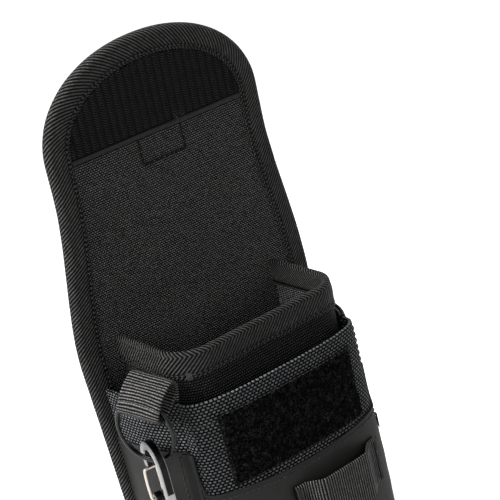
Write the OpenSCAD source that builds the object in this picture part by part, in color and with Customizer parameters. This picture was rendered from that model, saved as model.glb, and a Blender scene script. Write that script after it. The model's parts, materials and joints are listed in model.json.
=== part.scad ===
// Electrician's belt pouch: a main pocket with a fold-over lid, a slim front
// pocket, two side sleeves, a tape strap, a belt loop, and a webbing loop that
// carries a split ring and a small wire-gate carabiner.
// X runs across the pouch, +Y towards the wearer, +Z up. The origin is the
// middle of the underside. The lid is drawn standing open.

/* [Main pocket] */
// Outside width of the main pocket at its walls
pocket_w = 101; // [85:1:125]
// Outside depth of the main pocket, from its front wall to the back panel
pocket_d = 58; // [50:1:75]
// Height of the main pocket, up to the top of its rim tape
pocket_h = 150; // [135:1:190]
// Thickness of the pocket's walls
wall_t = 2.4; // [1.8:0.1:3.2]
// Sideways reach of the slanted front corners
corner_cut = 10; // [6:1:16]
// Thickness of the base panel
base_t = 3; // [2:0.5:5]
// Thickness of the loose board in the bottom of the pocket
board_t = 1.6; // [1:0.2:3]

/* [Front pocket] */
// How far the front pocket's panel stands ahead of the front wall
front_bulge = 8.6; // [7:0.2:16]
// Height of the front pocket's mouth
front_h = 125; // [105:1:130]
// Thickness of the front pocket's panel
panel_t = 1.8; // [1.2:0.1:2.6]
// Height of the hem turned over at the front pocket's mouth
hem_h = 10; // [6:1:14]
// Width of the loop patch
patch_w = 82; // [50:1:90]
// Height of the loop patch
patch_h = 39; // [20:1:44]
// Height of the loop patch's lower edge
patch_z = 78; // [76:1:82]
// Thickness of the loop patch
patch_t = 1.4; // [1:0.1:2]

/* [Lower bands] */
// Height of the coated band across the front
band_h = 73; // [50:1:75]
// Height of the coated bands round the sleeves
side_band_h = 99; // [60:1:110]
// Thickness of the coated bands
band_t = 0.9; // [0.6:0.1:1.4]

/* [Side sleeves] */
// Height of the side sleeves
sleeve_h = 126; // [100:1:130]
// How far the sleeves stand out from the main pocket's sides
sleeve_out = 14; // [11:0.5:22]

/* [Back panel and lid] */
// How far the back panel's foot stands out past each side of the main pocket
foot_wing = 16; // [15:0.5:24]
// How far the shoulders stand out, level with the lid's fold
shoulder_wing = 20.5; // [17:0.5:28]
// How far the lid's straight stretch stands out
lid_wing = 11.5; // [6:0.5:16]
// Length of the lid's tip, from its second fold
tip_len = 68.5; // [60:0.5:80]
// Lean of the open lid towards the front, in degrees
lid_lean = 3.5; // [0:0.5:12]
// Thickness of the lining
lining_t = 0.8; // [0.5:0.1:1.2]
// Thickness of the foam
foam_t = 2.8; // [2:0.2:5]
// Thickness of the outer fabric
shell_t = 1; // [0.6:0.1:1.6]
// Height of the hook panel in the lid's tip
hook_h = 46; // [30:1:46]
// Thickness of the hook panel
hook_t = 1.4; // [1:0.1:2]
// Length of the pull tab outside the lid
tab_len = 30; // [20:1:36]
// Width of the pull tab
tab_w = 25; // [15:1:30]

/* [Binding tape] */
// Width of the binding on each face of the lid and back panel
bind_w = 11.5; // [8:0.5:14]
// Height of the binding round the rim
rim_bind_h = 12.5; // [8:0.5:14]
// Thickness of the binding
bind_t = 1; // [0.6:0.1:1.4]

/* [Straps] */
// Thickness of all webbing
web_t = 1.6; // [1.2:0.1:2.2]
// Width of the tape strap's span between its bar tacks
tape_strap_w = 56; // [40:1:64]
// Height of the tape strap
tape_strap_h = 26; // [20:1:30]
// Room behind the tape strap
tape_gap = 6; // [5:0.5:9]
// Sideways place of the tape strap's middle
tape_strap_x = 15; // [0:1:18]
// Height of the tape strap's lower edge
tape_strap_z = 38; // [20:1:44]
// Width of the belt loop
belt_loop_w = 50; // [30:1:70]
// Tallest belt that the belt loop takes
belt_h = 60; // [40:1:70]
// Room for the belt's thickness
belt_gap = 7; // [5:0.5:10]
// Height of the belt loop's lower seam
belt_z = 52; // [30:1:60]
// Width of the ring's webbing loop
ring_web_w = 24; // [18:1:26]

/* [Ring and carabiner] */
// Outside diameter of the split ring
ring_d = 34; // [30:1:38]
// Radial thickness of the split ring's wire
ring_wire = 1.7; // [1.4:0.1:2]
// Height of the ring's two turns together
ring_stack = 2.4; // [2.2:0.1:2.8]
// Length of the carabiner
carabiner_len = 50; // [44:1:56]
// Width of the carabiner
carabiner_w = 25; // [22:1:30]
// Width of the carabiner's bar in its own plane
bar_w = 4.6; // [4:0.2:5.4]
// Thickness of the carabiner
bar_t = 4.4; // [4:0.2:4.8]
// Diameter of the gate's wire
gate_wire = 1.6; // [1.2:0.1:2]

/* [Clearances] */
// Gap between pieces that are sewn face to face
sewn_gap = 0.1; // [0.05:0.05:0.2]
// Gap round moving metal
swing_gap = 0.3; // [0.2:0.05:0.5]
// Room left between the closed lid and what it closes over
closed_gap = 0.9; // [0.5:0.1:2]

/* [Hidden] */
$fn = 48;

back_y = pocket_d / 2;
front_y = -pocket_d / 2;
side_x = pocket_w / 2;
rim_z = pocket_h;

// The sandwich of the back panel and lid, from the lining's face backwards.
foam_y = lining_t + sewn_gap;
shell_y = foam_y + foam_t + sewn_gap;
sandwich_t = shell_y + shell_t;
bind_out = sewn_gap + bind_t;
patch_out = sewn_gap + patch_t;
hook_out = sewn_gap + hook_t;
band_out = sewn_gap + band_t;

// The lid's two folds run along X at the lining's face.
cover_len = pocket_d + front_bulge + patch_out + hook_out + closed_gap;
lid_len = cover_len + tip_len;
fold_z = rim_z + bind_out + closed_gap;
fold_play = 1.5;
back_top = fold_z - fold_play;

// Outline of the back panel and lid, with s measured up from the lid's fold.
foot_w = pocket_w + 2 * foot_wing;
shoulder_w = pocket_w + 2 * shoulder_wing;
lid_w = pocket_w + 2 * lid_wing;
shoulder_s = -12;
arch_margin = 1;
arch_s = lid_len - hook_h - arch_margin;
waist_s = arch_s - 14;
arch_power = 2.1;
arch_steps = 32;
edge_steps = 12;
foot_s = base_t + sewn_gap - fold_z;
top_s = back_top - fold_z;

// Front pocket and sleeves meet in a seam at each front corner.
seam_out = 3;
seam_back = 7.5;
seam_split = 0.3;
seam_x = side_x + seam_out;
seam_y = front_y + seam_back;
panel_y = front_y - front_bulge;
front_power = 2.8;
curve_steps = 24;
stretch_steps = 20;
sleeve_steps = 12;
// How the sleeve's plan curve leaves the seam: shares of its reach, and depths.
sleeve_start = 0.25;
sleeve_pull_1 = 6;
sleeve_pull_2 = 17;
sleeve_x = side_x + sleeve_out;
sleeve_end_y = back_y - bind_out - sewn_gap;
wall_foot = base_t + sewn_gap;
wall_top = rim_z - bind_out;
hem_t = 0.8;

// Ring: its wire passes through the webbing as a chord of the ring's circle.
ring_r = (ring_d - ring_wire) / 2;
ring_drop = sqrt(ring_r * ring_r - ring_web_w * ring_web_w / 4);
wire_reach = norm([ring_wire / 2 * ring_r / ring_drop, ring_stack / 2]);

// The webbing loop that holds the ring is turned and tilted a little. Its eye
// is as tall as the ring's arc inside it needs.
web_slack = 1.53;
web_hole_r = web_slack + (ring_r - ring_drop) / 2;
web_turn = 22;
web_tilt = 12;
web_near = [-web_hole_r - web_t, -1];
web_far = [-13.5, -8.5];
web_y = -15;
web_down = 11;
web_root = [-side_x - bind_out - sewn_gap - ring_web_w / 2 * sin(web_turn), web_y, rim_z - web_down];
web_tail = 9;

ring_seat = web_far[1] - web_hole_r + swing_gap / 2 + wire_reach;
ring_mid = web_root + spun([web_far[0], ring_drop * sin(web_tilt) - ring_seat * sin(web_tilt),
    (ring_seat - ring_drop) * cos(web_tilt)], web_turn);
ring_low = ring_mid - [0, 0, ring_r];

// Carabiner: v is up and u runs from its spine to its gate.
carabiner_turn = -10;
top_r = (carabiner_w - bar_w) / 2;
foot_taper = 2;
foot_r = top_r - foot_taper;
bow_drop = 2.3;
foot_drop = carabiner_len - bar_w - top_r - foot_r;
gate_u = top_r;
gate_rise = 4;
gate_foot_v = gate_rise - foot_drop;
gate_top_v = -6;
nose_rise = 0.6;
nose_v = gate_top_v + gate_wire / 2 + swing_gap + nose_rise;
arc_steps = 16;
rod_x = bar_t / 2 + swing_gap + gate_wire / 2;

// Vector turned about Z.
function spun(p, a) = [p[0] * cos(a) - p[1] * sin(a), p[0] * sin(a) + p[1] * cos(a), p[2]];
// Point at t from 0 to 1 on the cubic curve with the control points p.
function cubic(p, t) = pow(1 - t, 3) * p[0] + 3 * pow(1 - t, 2) * t * p[1]
    + 3 * (1 - t) * t * t * p[2] + t * t * t * p[3];
// Unit vector to the left of the path at point i.
function left_of(path, i) =
    let (d = path[min(i + 1, len(path) - 1)] - path[max(i - 1, 0)])
    [-d[1], d[0]] / norm(d);
// The path moved to its left by a distance.
function shifted(path, by) = [for (i = [0:len(path) - 1]) path[i] + by * left_of(path, i)];
function reversed(path) = [for (i = [len(path) - 1:-1:0]) path[i]];
function mirrored(path) = [for (p = path) [-p[0], p[1]]];
// Closed outline between two offsets of a path.
function ribbon(path, near, far) = concat(shifted(path, near), reversed(shifted(path, far)));
function smooth(t) = let (c = min(max(t, 0), 1)) c * c * (3 - 2 * c);

// Half the width of the back panel and lid at a height s.
function half_width(s) =
    s < shoulder_s ? shoulder_w / 2 - (shoulder_w - foot_w) / 2
        * (s - shoulder_s) / (foot_s - shoulder_s)
    : shoulder_w / 2 - (shoulder_w - lid_w) / 2 * smooth((s - shoulder_s) / (waist_s - shoulder_s));
// Right-hand edge of the panel from height a to height b.
function right_edge(a, b, steps) = [for (i = [0:steps])
    let (s = a + (b - a) * i / steps) [half_width(s), s]];
// Arch of the lid's tip, from its right end to its left end.
function arch_edge() = [for (i = [0:arch_steps]) let (q = 180 * i / arch_steps, c = cos(q))
    [sign(c) * lid_w / 2 * pow(abs(c), 2 / arch_power),
     arch_s + (lid_len - arch_s) * pow(sin(q), 2 / arch_power)]];
tip_steps = 4;
tip_run = 3;
function tip_edge() = let (side = right_edge(cover_len, arch_s - tip_run, tip_steps))
    concat(side, arch_edge(), reversed(mirrored(side)));
// Filled outline between heights a and b.
function panel_outline(a, b, steps) = let (side = right_edge(a, b, steps))
    concat(side, reversed(mirrored(side)));

// Plan curve of the front pocket's panel, from the left seam to the right one.
function front_curve() = [for (i = [0:curve_steps]) let (q = 180 - 180 * i / curve_steps, c = cos(q))
    [sign(c) * seam_x * pow(abs(c), 2 / front_power),
     seam_y + (panel_y - seam_y) * pow(sin(q), 2 / front_power)]];
// Stretch of that curve between two places across the front.
function front_at(x) = seam_y + (panel_y - seam_y)
    * pow(1 - pow(abs(x) / seam_x, front_power), 1 / front_power);
function front_stretch(a, b) = [for (i = [0:stretch_steps])
    let (x = a + (b - a) * i / stretch_steps) [x, front_at(x)]];
// Plan curve of the right sleeve, from the seam to the back panel.
function sleeve_curve() = [for (i = [0:sleeve_steps]) cubic([[seam_x, seam_y + seam_split],
    [seam_x + sleeve_start * sleeve_out, seam_y + sleeve_pull_1], [sleeve_x, seam_y + sleeve_pull_2],
    [sleeve_x, sleeve_end_y]], i / sleeve_steps)];
function from_second(path) = [for (i = [1:len(path) - 1]) path[i]];
// Plan line of the main pocket's wall at a depth d inside its outer face, from
// the left side's back edge round the slanted corners to the right side's.
cut_half = 22.5;
function u_line(d) = let (k = d * tan(cut_half), half = [[side_x - corner_cut - k, front_y + d],
    [side_x - d, front_y + corner_cut + k], [side_x - d, back_y - sewn_gap]])
    concat(reversed(mirrored(half)), half);
function u_band(near, far) = concat(u_line(near), reversed(u_line(far)));
// Plan line of the tape strap, off by a distance from the strap's back.
// The strap lies flat for two steps at each end and rises over the next three.
strap_flat = 2;
strap_rise = 3;
function strap_line(off) = let (base = front_stretch(tape_strap_x - tape_strap_w / 2,
    tape_strap_x + tape_strap_w / 2)) [for (i = [0:stretch_steps])
    base[i] - left_of(base, i) * (band_out + sewn_gap + off
        + tape_gap * smooth((i - strap_flat) / strap_rise)
            * smooth((stretch_steps - strap_flat - i) / strap_rise))];

// A flat outline in X and height, thick along Y from a to b.
module slab(a, b) translate([0, b, 0]) rotate([90, 0, 0]) linear_extrude(b - a) children();
// A flat outline in plan, from height a to height b.
module wall(a, b) translate([0, 0, a]) linear_extrude(b - a) children();
// A flat outline in Y and height, thick along X from a to b.
module across(a, b) translate([a, 0, 0]) rotate([90, 0, 90]) linear_extrude(b - a) children();
// Frames of the back panel and of the open lid, with Y backwards and Z up along the panel.
module back_frame() translate([0, back_y, fold_z]) children();
module lid_frame() back_frame() rotate([lid_lean, 0, 0]) children();
// Binding folded over the sandwich's edge along a path whose left is inwards,
// kept between the heights a and b.
module edge_binding(path, a, b) intersection() {
    difference() {
        slab(-bind_out, sandwich_t + bind_out) polygon(ribbon(path, -bind_out, bind_w));
        slab(-sewn_gap, sandwich_t + sewn_gap) polygon(ribbon(path, -sewn_gap, bind_w + 1));
    }
    slab(-2 * bind_out, sandwich_t + 2 * bind_out)
        translate([-shoulder_w, a]) square([2 * shoulder_w, b - a]);
}
edge_run = 2;
module both_edges(a, b) {
    edge_binding(right_edge(a - edge_run, b + edge_run, edge_steps), a, b);
    mirror([1, 0, 0]) edge_binding(right_edge(a - edge_run, b + edge_run, edge_steps), a, b);
}

// ---- Back panel ----
module back_layer(a, b) back_frame() slab(a, b) polygon(panel_outline(foot_s, top_s, edge_steps));
module back_outer() color("#1b1b1d") back_layer(shell_y, sandwich_t);
module back_foam() color("#3c3c3e") back_layer(foam_y, foam_y + foam_t);
module back_lining() color("#332f2f") back_layer(0, lining_t);
module back_binding() color("#141416") back_frame() both_edges(foot_s, top_s);

// ---- Main pocket ----
front_half = side_x - corner_cut;
module pocket_front_wall() color("#19191b") wall(wall_foot, wall_top)
    translate([sewn_gap - front_half, front_y]) square([2 * (front_half - sewn_gap), wall_t]);
module pocket_right_wall() color("#19191b") wall(wall_foot, wall_top)
    polygon([[front_half, front_y], [side_x, front_y + corner_cut], [side_x, back_y - sewn_gap],
        [side_x - wall_t, back_y - sewn_gap],
        [side_x - wall_t, front_y + corner_cut + wall_t * tan(cut_half)],
        [front_half, front_y + wall_t + wall_t * tan(cut_half)]]);
module pocket_left_wall() mirror([1, 0, 0]) pocket_right_wall();
module rim_binding() color("#141416") difference() {
    wall(rim_z - rim_bind_h, rim_z) polygon(u_band(-bind_out, wall_t + bind_out));
    wall(rim_z - rim_bind_h - 1, wall_top + sewn_gap)
        polygon(u_band(-sewn_gap, wall_t + sewn_gap));
}
module base_panel() color("#242426") wall(0, base_t) {
    polygon(concat(front_curve(), sleeve_curve(), reversed(mirrored(sleeve_curve()))));
    translate([-foot_w / 2 - bind_out, sleeve_end_y - 1])
        square([foot_w + 2 * bind_out, 1 + back_y - sleeve_end_y + sandwich_t + bind_out]);
}
board_play = 0.6;
module base_board() color("#2b2b2d") wall(wall_foot, wall_foot + board_t)
    intersection() {
        polygon(u_line(wall_t + board_play));
        translate([-side_x, front_y]) square([pocket_w, pocket_d - board_play]);
    }

// ---- Front pocket ----
module front_pocket_panel() color("#1d1e24") wall(wall_foot, front_h)
    polygon(ribbon(front_curve(), 0, panel_t));
module front_pocket_hem() color("#17181c") wall(front_h - hem_h, front_h)
    polygon(ribbon(front_stretch(-front_half, front_half), panel_t + sewn_gap, panel_t + sewn_gap + hem_t));
module loop_patch() color("#0e0e0f") wall(patch_z, patch_z + patch_h)
    polygon(ribbon(front_stretch(-patch_w / 2, patch_w / 2), -patch_out, -sewn_gap));
module front_band() color("#3a3a37") wall(wall_foot, band_h)
    polygon(ribbon(front_curve(), -band_out, -sewn_gap));

// ---- Side sleeves ----
module right_sleeve() color("#1d1e24") wall(wall_foot, sleeve_h)
    polygon(ribbon(sleeve_curve(), 0, panel_t));
module left_sleeve() mirror([1, 0, 0]) right_sleeve();
module right_band() color("#3a3a37") wall(wall_foot, side_band_h)
    polygon(ribbon(from_second(sleeve_curve()), -band_out, -sewn_gap));
module left_band() mirror([1, 0, 0]) right_band();
module right_sleeve_hem() color("#17181c") wall(sleeve_h - hem_h, sleeve_h)
    polygon(ribbon(from_second(sleeve_curve()), -sewn_gap - hem_t, -sewn_gap));
module left_sleeve_hem() mirror([1, 0, 0]) right_sleeve_hem();

// ---- Straps ----
tack_w = 3;
tack_t = 0.6;
tack_inset = 3;
module tape_strap() color("#151517") wall(tape_strap_z, tape_strap_z + tape_strap_h)
    polygon(concat(strap_line(0), reversed(strap_line(web_t))));
module tape_strap_tacks() color("#2a2a2c")
    for (x = [tape_strap_x - tape_strap_w / 2, tape_strap_x + tape_strap_w / 2 - tack_w])
        wall(tape_strap_z + tack_inset, tape_strap_z + tape_strap_h - tack_inset)
            polygon(ribbon([for (i = [0:2]) [x + i * tack_w / 2, front_at(x + i * tack_w / 2)]],
                -band_out - sewn_gap - web_t - sewn_gap - tack_t, -band_out - web_t - 2 * sewn_gap));
loop_seam = 10;
loop_slope = 5;
loop_y = back_y + sandwich_t + sewn_gap;
module belt_loop() color("#151517") across(-belt_loop_w / 2, belt_loop_w / 2)
    polygon(let (far = loop_y + belt_gap, a = belt_z + loop_seam, b = a + belt_h)
        ribbon([[loop_y, belt_z], [loop_y, a - loop_slope], [far, a], [far, b],
            [loop_y, b + loop_slope], [loop_y, b + loop_seam]], -web_t, 0));
// Outline round two points, as a round-ended bar.
module round_bar(p, q, r) {
    translate(p) circle(r);
    translate(q) circle(r);
    translate(p) rotate(atan2(q[1] - p[1], q[0] - p[0])) translate([0, -r]) square([norm(q - p), 2 * r]);
}
module web_frame() translate(web_root) rotate([0, 0, web_turn]) rotate([web_tilt, 0, 0]) children();
module ring_webbing() color("#161618") web_frame() slab(-ring_web_w / 2, ring_web_w / 2) difference() {
    union() {
        round_bar(web_near, web_far, web_hole_r + web_t);
        translate([-web_t, -web_tail]) square([web_t, web_tail + 1]);
    }
    round_bar(web_near, web_far, web_hole_r);
}

// ---- Lid ----
cover_steps = 8;
module cover_layer(a, b) lid_frame() slab(a, b)
    polygon(panel_outline(fold_play, cover_len - fold_play, cover_steps));
module tip_layer(a, b) lid_frame() slab(a, b) intersection() {
    polygon(tip_edge());
    translate([-lid_w, cover_len + fold_play]) square([2 * lid_w, tip_len]);
}
module lid_cover_outer() color("#1b1b1d") cover_layer(shell_y, sandwich_t);
module lid_cover_foam() color("#3c3c3e") cover_layer(foam_y, foam_y + foam_t);
module lid_cover_lining() color("#332f2f") cover_layer(0, lining_t);
module lid_cover_binding() color("#141416") lid_frame() both_edges(fold_play, cover_len - fold_play);
module lid_tip_outer() color("#1b1b1d") tip_layer(shell_y, sandwich_t);
module lid_tip_foam() color("#3c3c3e") tip_layer(foam_y, foam_y + foam_t);
module lid_tip_lining() color("#332f2f") tip_layer(0, lining_t);
module lid_tip_binding() color("#141416") lid_frame()
    edge_binding(tip_edge(), cover_len + fold_play, lid_len + 2 * bind_out);
hook_margin = 0.3;
hook_inset = bind_w + hook_margin;
hook_tape_w = 3;
module hook_panel() color("#0b0b0c") lid_frame() slab(-hook_out, -sewn_gap) intersection() {
    polygon(shifted(arch_edge(), hook_inset));
    translate([-lid_w, arch_s]) square([2 * lid_w, lid_len]);
}
module hook_edge_tape() color("#202022") lid_frame() slab(-bind_out, -sewn_gap)
    translate([hook_inset - lid_w / 2, arch_s - sewn_gap - hook_tape_w])
        square([lid_w - 2 * hook_inset, hook_tape_w]);
tab_root = 15;
tab_s = arch_s - tab_root;
module pull_tab() color("#151517") lid_frame() slab(sandwich_t + sewn_gap, sandwich_t + sewn_gap + web_t)
    translate([-tab_w / 2, tab_s]) square([tab_w, tab_len]);

// ---- Ring and carabiner ----
// A shallow groove shows where the ring's two turns meet.
groove_half = 0.2;
groove_deep = 0.3;
module split_ring() color("#2c2d30") translate(ring_mid) rotate([0, 0, web_turn]) rotate([0, 90, 0])
    rotate_extrude() translate([ring_r, 0]) polygon([[-ring_wire / 2, -ring_stack / 2],
        [ring_wire / 2, -ring_stack / 2], [ring_wire / 2, -groove_half],
        [ring_wire / 2 - groove_deep, 0], [ring_wire / 2, groove_half],
        [ring_wire / 2, ring_stack / 2], [-ring_wire / 2, ring_stack / 2],
        [-ring_wire / 2, groove_half], [groove_deep - ring_wire / 2, 0],
        [-ring_wire / 2, -groove_half]]);
// The carabiner's own frame: X through its thickness, Y from spine to gate,
// with its origin at the centre of the top bow.
module carabiner_frame_at() translate(ring_low - [0, 0, bow_drop])
    rotate([0, 0, carabiner_turn]) children();
// Points of an arc about the point c.
function arc(c, r, a, b, steps) = [for (i = [0:steps]) let (q = a + (b - a) * i / steps)
    c + r * [cos(q), sin(q)]];
foot_mid = [foot_r - top_r, -foot_drop];
foot_end = 330;
function bar_line() = concat([[gate_u, nose_v]], arc([0, 0], top_r, 0, 180, arc_steps),
    arc(foot_mid, foot_r, 180, foot_end, arc_steps), [[gate_u, gate_foot_v]]);
boss_r = 3.1;
pin_clear = 0.2;
module carabiner_frame() color("#26272a") carabiner_frame_at() difference() {
    across(-bar_t / 2, bar_t / 2) {
        polygon(ribbon(bar_line(), -bar_w / 2, bar_w / 2));
        translate([gate_u, gate_foot_v]) circle(boss_r);
    }
    translate([0, gate_u, gate_foot_v]) rotate([0, 90, 0])
        cylinder(h = 2 * bar_t, d = gate_wire + 2 * pin_clear, center = true);
}
module carabiner_gate() color("#b9b2a4") carabiner_frame_at() translate([0, gate_u, 0]) {
    for (v = [gate_foot_v, gate_top_v])
        translate([0, 0, v]) rotate([0, 90, 0]) cylinder(h = 2 * rod_x, d = gate_wire, center = true);
    for (x = [-rod_x, rod_x]) {
        translate([x, 0, gate_foot_v]) cylinder(h = gate_top_v - gate_foot_v, d = gate_wire);
        for (v = [gate_foot_v, gate_top_v])
            translate([x, 0, v]) sphere(d = gate_wire);
    }
}

back_outer();
back_foam();
back_lining();
back_binding();
pocket_front_wall();
pocket_left_wall();
pocket_right_wall();
rim_binding();
base_panel();
base_board();
front_pocket_panel();
front_pocket_hem();
loop_patch();
front_band();
left_sleeve();
right_sleeve();
left_band();
right_band();
left_sleeve_hem();
right_sleeve_hem();
tape_strap();
tape_strap_tacks();
belt_loop();
ring_webbing();
lid_cover_outer();
lid_cover_foam();
lid_cover_lining();
lid_cover_binding();
lid_tip_outer();
lid_tip_foam();
lid_tip_lining();
lid_tip_binding();
hook_panel();
hook_edge_tape();
pull_tab();
split_ring();
carabiner_frame();
carabiner_gate();
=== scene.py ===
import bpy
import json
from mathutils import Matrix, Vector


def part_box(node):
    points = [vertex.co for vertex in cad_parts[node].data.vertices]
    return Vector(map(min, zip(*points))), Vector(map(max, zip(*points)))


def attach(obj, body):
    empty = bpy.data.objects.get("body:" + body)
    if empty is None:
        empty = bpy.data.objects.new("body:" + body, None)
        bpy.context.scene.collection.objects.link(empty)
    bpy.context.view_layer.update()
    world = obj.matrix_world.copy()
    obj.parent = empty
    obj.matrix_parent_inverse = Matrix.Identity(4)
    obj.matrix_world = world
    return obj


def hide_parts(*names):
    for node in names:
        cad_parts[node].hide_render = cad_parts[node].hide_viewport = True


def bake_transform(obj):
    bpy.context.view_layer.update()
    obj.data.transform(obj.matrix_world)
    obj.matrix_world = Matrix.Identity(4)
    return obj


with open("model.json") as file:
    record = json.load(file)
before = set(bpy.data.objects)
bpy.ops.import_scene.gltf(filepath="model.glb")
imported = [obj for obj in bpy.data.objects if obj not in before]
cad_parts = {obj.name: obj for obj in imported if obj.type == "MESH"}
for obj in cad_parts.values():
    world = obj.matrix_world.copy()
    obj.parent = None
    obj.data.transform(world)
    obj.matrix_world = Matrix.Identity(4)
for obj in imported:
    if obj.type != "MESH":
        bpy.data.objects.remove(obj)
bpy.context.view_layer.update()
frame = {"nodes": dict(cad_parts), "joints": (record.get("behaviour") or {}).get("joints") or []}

import json

import bpy
import numpy as np
from mathutils import Matrix, Vector

# All lengths below are millimetres until a mesh is made.
# X runs across the pouch, +Y to the wearer, Z up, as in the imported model.


def box_mm(node):
    """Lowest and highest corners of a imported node, in millimetres."""
    return [np.array(corner) * 1000 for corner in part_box(node)]


joints = {joint["name"]: joint for joint in frame["joints"]}
BACK_Y, FOLD_Z = np.array(joints["lid_fold"]["pos_m"])[1:] * 1000
SIDE_X = box_mm("pocket_right_wall")[1][0]
(_, FRONT_Y, WALL_FOOT), (_, _, WALL_TOP) = box_mm("pocket_front_wall")
RIM_Z = box_mm("rim_binding")[1][2]
PANEL_Y = box_mm("front_pocket_panel")[0][1]
PANEL_TOP = box_mm("front_pocket_panel")[1][2]
SLEEVE_X, _, SLEEVE_TOP = box_mm("right_sleeve")[1]
BAND_Z, SIDE_BAND_Z = (box_mm(node)[1][2] for node in ("front_band", "right_band"))
FOOT_Z = box_mm("back_lining")[0][2]
# The front pocket's corner seams, and where the sleeves reach the back panel.
SEAM_X, SEAM_Y, SLEEVE_END = 53.5, -21.5, 27.8
# Distances s along the panel, up from the lid's fold: its foot, shoulder and
# waist, the foot of its arch, its tip, its second fold, and its pieces' joins.
FOOT_S = FOOT_Z - FOLD_Z
SHOULDER_S, WAIST_S, ARCH_S, LID_LEN = -12.0, 78.0, 92.0, 139.0
COVER_LEN, MID_S, PANEL_END = 70.5, 35.0, 135.5
LID_HALF, SHOULDER_HALF, FOOT_HALF, ARCH_POWER = 62.0, 71.0, 66.5, 2.1
# The open lid's lean, and the thickness of the padded panel.
LEAN, SANDWICH = np.radians(3.5), 4.8
# The sewn box's lowest line and half its width.
BOX_LOW, BOX_HALF = 75.6, 12.6
HOOK_PITCH = 4.3


# ---------------------------------------------------------------- curves

def smooth(t):
    """0 below 0, 1 above 1, and 3t^2 - 2t^3 between."""
    t = np.clip(t, 0, 1)
    return t * t * (3 - 2 * t)


def arc_lengths(path):
    """Distance along a path at each of its points."""
    steps = np.linalg.norm(np.diff(path, axis=0), axis=1)
    return np.concatenate([[0.0], np.cumsum(steps)])


def resampled(path, step):
    """The path again, with its points one step apart."""
    far = arc_lengths(path)
    at = np.linspace(0, far[-1], max(2, int(round(far[-1] / step)) + 1))
    return np.stack([np.interp(at, far, column) for column in path.T], 1)


def directions(path, closed=False):
    """Unit tangents: the difference between each point's neighbours."""
    if closed:
        d = np.roll(path, -1, 0) - np.roll(path, 1, 0)
    else:
        d = np.gradient(path, axis=0)
    return d / np.linalg.norm(d, axis=1)[:, None]


def unit(v):
    """Vectors brought to length 1."""
    v = np.asarray(v, float)
    return v / np.linalg.norm(v, axis=-1, keepdims=True)


def softened(line, times):
    """An open line whose inner points move, that many times, half way to the
    middle of their neighbours."""
    for _ in range(times):
        line[1:-1] = (line[:-2] + 2 * line[1:-1] + line[2:]) / 4
    return line


def legs(corners, count):
    """The straight runs from corner to corner, each as points."""
    return [np.linspace(a, b, count) for a, b in zip(corners[:-1], corners[1:])]


def arch(q, half, rise, power):
    """Points of a superellipse at angles q: its half width times the cosine
    and its rise times the sine, each raised to 2 / power."""
    c = np.cos(q)
    return np.stack([np.sign(c) * half * np.abs(c) ** (2 / power), rise * np.sin(q) ** (2 / power)], 1)


def ripple(a, b, seed, size):
    """Unevenness from -1 to 1: six sine waves of about one length, each with
    its own fixed direction and start."""
    rng = np.random.default_rng(seed)
    round_turn, waves, total = 6.283, 6, 0
    for _ in range(waves):
        turn, start = rng.uniform(0, round_turn), rng.uniform(0, round_turn)
        wave = size * rng.uniform(0.6, 1.7)
        total = total + np.sin((a * np.cos(turn) + b * np.sin(turn)) * round_turn / wave + start)
    return total / waves


# ---------------------------------------------------------------- meshes

def part(points, wrap_u=False, wrap_v=False, cap=None, uv=None, origin=(0.0, 0.0)):
    """A patch of quads over a grid of points. uv is given for each point, or
    else is the mean distance along each way of the grid. A cap of "strip"
    closes the ends of a folded strip; "fan" closes the ends of a tube."""
    nu, nv = points.shape[:2]
    a, b = np.meshgrid(np.arange(nu if wrap_u else nu - 1),
                       np.arange(nv if wrap_v else nv - 1), indexing="ij")
    i = np.stack([a, a + 1, a + 1, a], -1).reshape(-1, 4)
    j = np.stack([b, b, b + 1, b + 1], -1).reshape(-1, 4)
    quads = (i % nu) * nv + j % nv
    if uv is None:
        along = np.linalg.norm(np.roll(points, -1, 0) - points, axis=2).mean(1)
        across = np.linalg.norm(np.roll(points, -1, 1) - points, axis=2).mean(0)
        u = np.concatenate([[0.0], np.cumsum(along)]) + origin[0]
        v = np.concatenate([[0.0], np.cumsum(across)]) + origin[1]
        quad_uv = np.stack([u[i], v[j]], -1)
        flat_uv = np.stack(np.meshgrid(u[:nu], v[:nv], indexing="ij"), -1).reshape(-1, 2)
    else:
        flat_uv = uv.reshape(-1, 2)
        quad_uv = flat_uv[quads]
    flat = points.reshape(-1, 3)
    faces, face_uv = [quads], [quad_uv]
    if cap == "strip":
        k = np.arange(nv // 2 - 1)
        first = np.stack([k, k + 1, nv - 2 - k, nv - 1 - k], -1)
        for ends in (first, first[:, ::-1] + (nu - 1) * nv):
            faces.append(ends)
            face_uv.append(flat_uv[ends])
    if cap == "fan":
        flat = np.concatenate([flat, points[[0, -1]].mean(1)])
        flat_uv = np.concatenate([flat_uv, flat_uv.reshape(nu, nv, 2)[[0, -1]].mean(1)])
        k = np.arange(nv)
        first = np.stack([k, (k + 1) % nv, np.full(nv, nu * nv)], -1)
        last = np.stack([(k + 1) % nv, k, np.full(nv, nv + 1)], -1) + (nu - 1) * nv
        for ends in (first, last):
            faces.append(ends)
            face_uv.append(flat_uv[ends])
    volume = 0.0
    for f in faces:
        p = flat[f]
        for k in range(1, f.shape[1] - 1):
            volume += (p[:, 0] * np.cross(p[:, k], p[:, k + 1])).sum()
    if volume < 0:
        faces = [f[:, ::-1] for f in faces]
        face_uv = [t[:, ::-1] for t in face_uv]
    return flat, faces, face_uv


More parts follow.
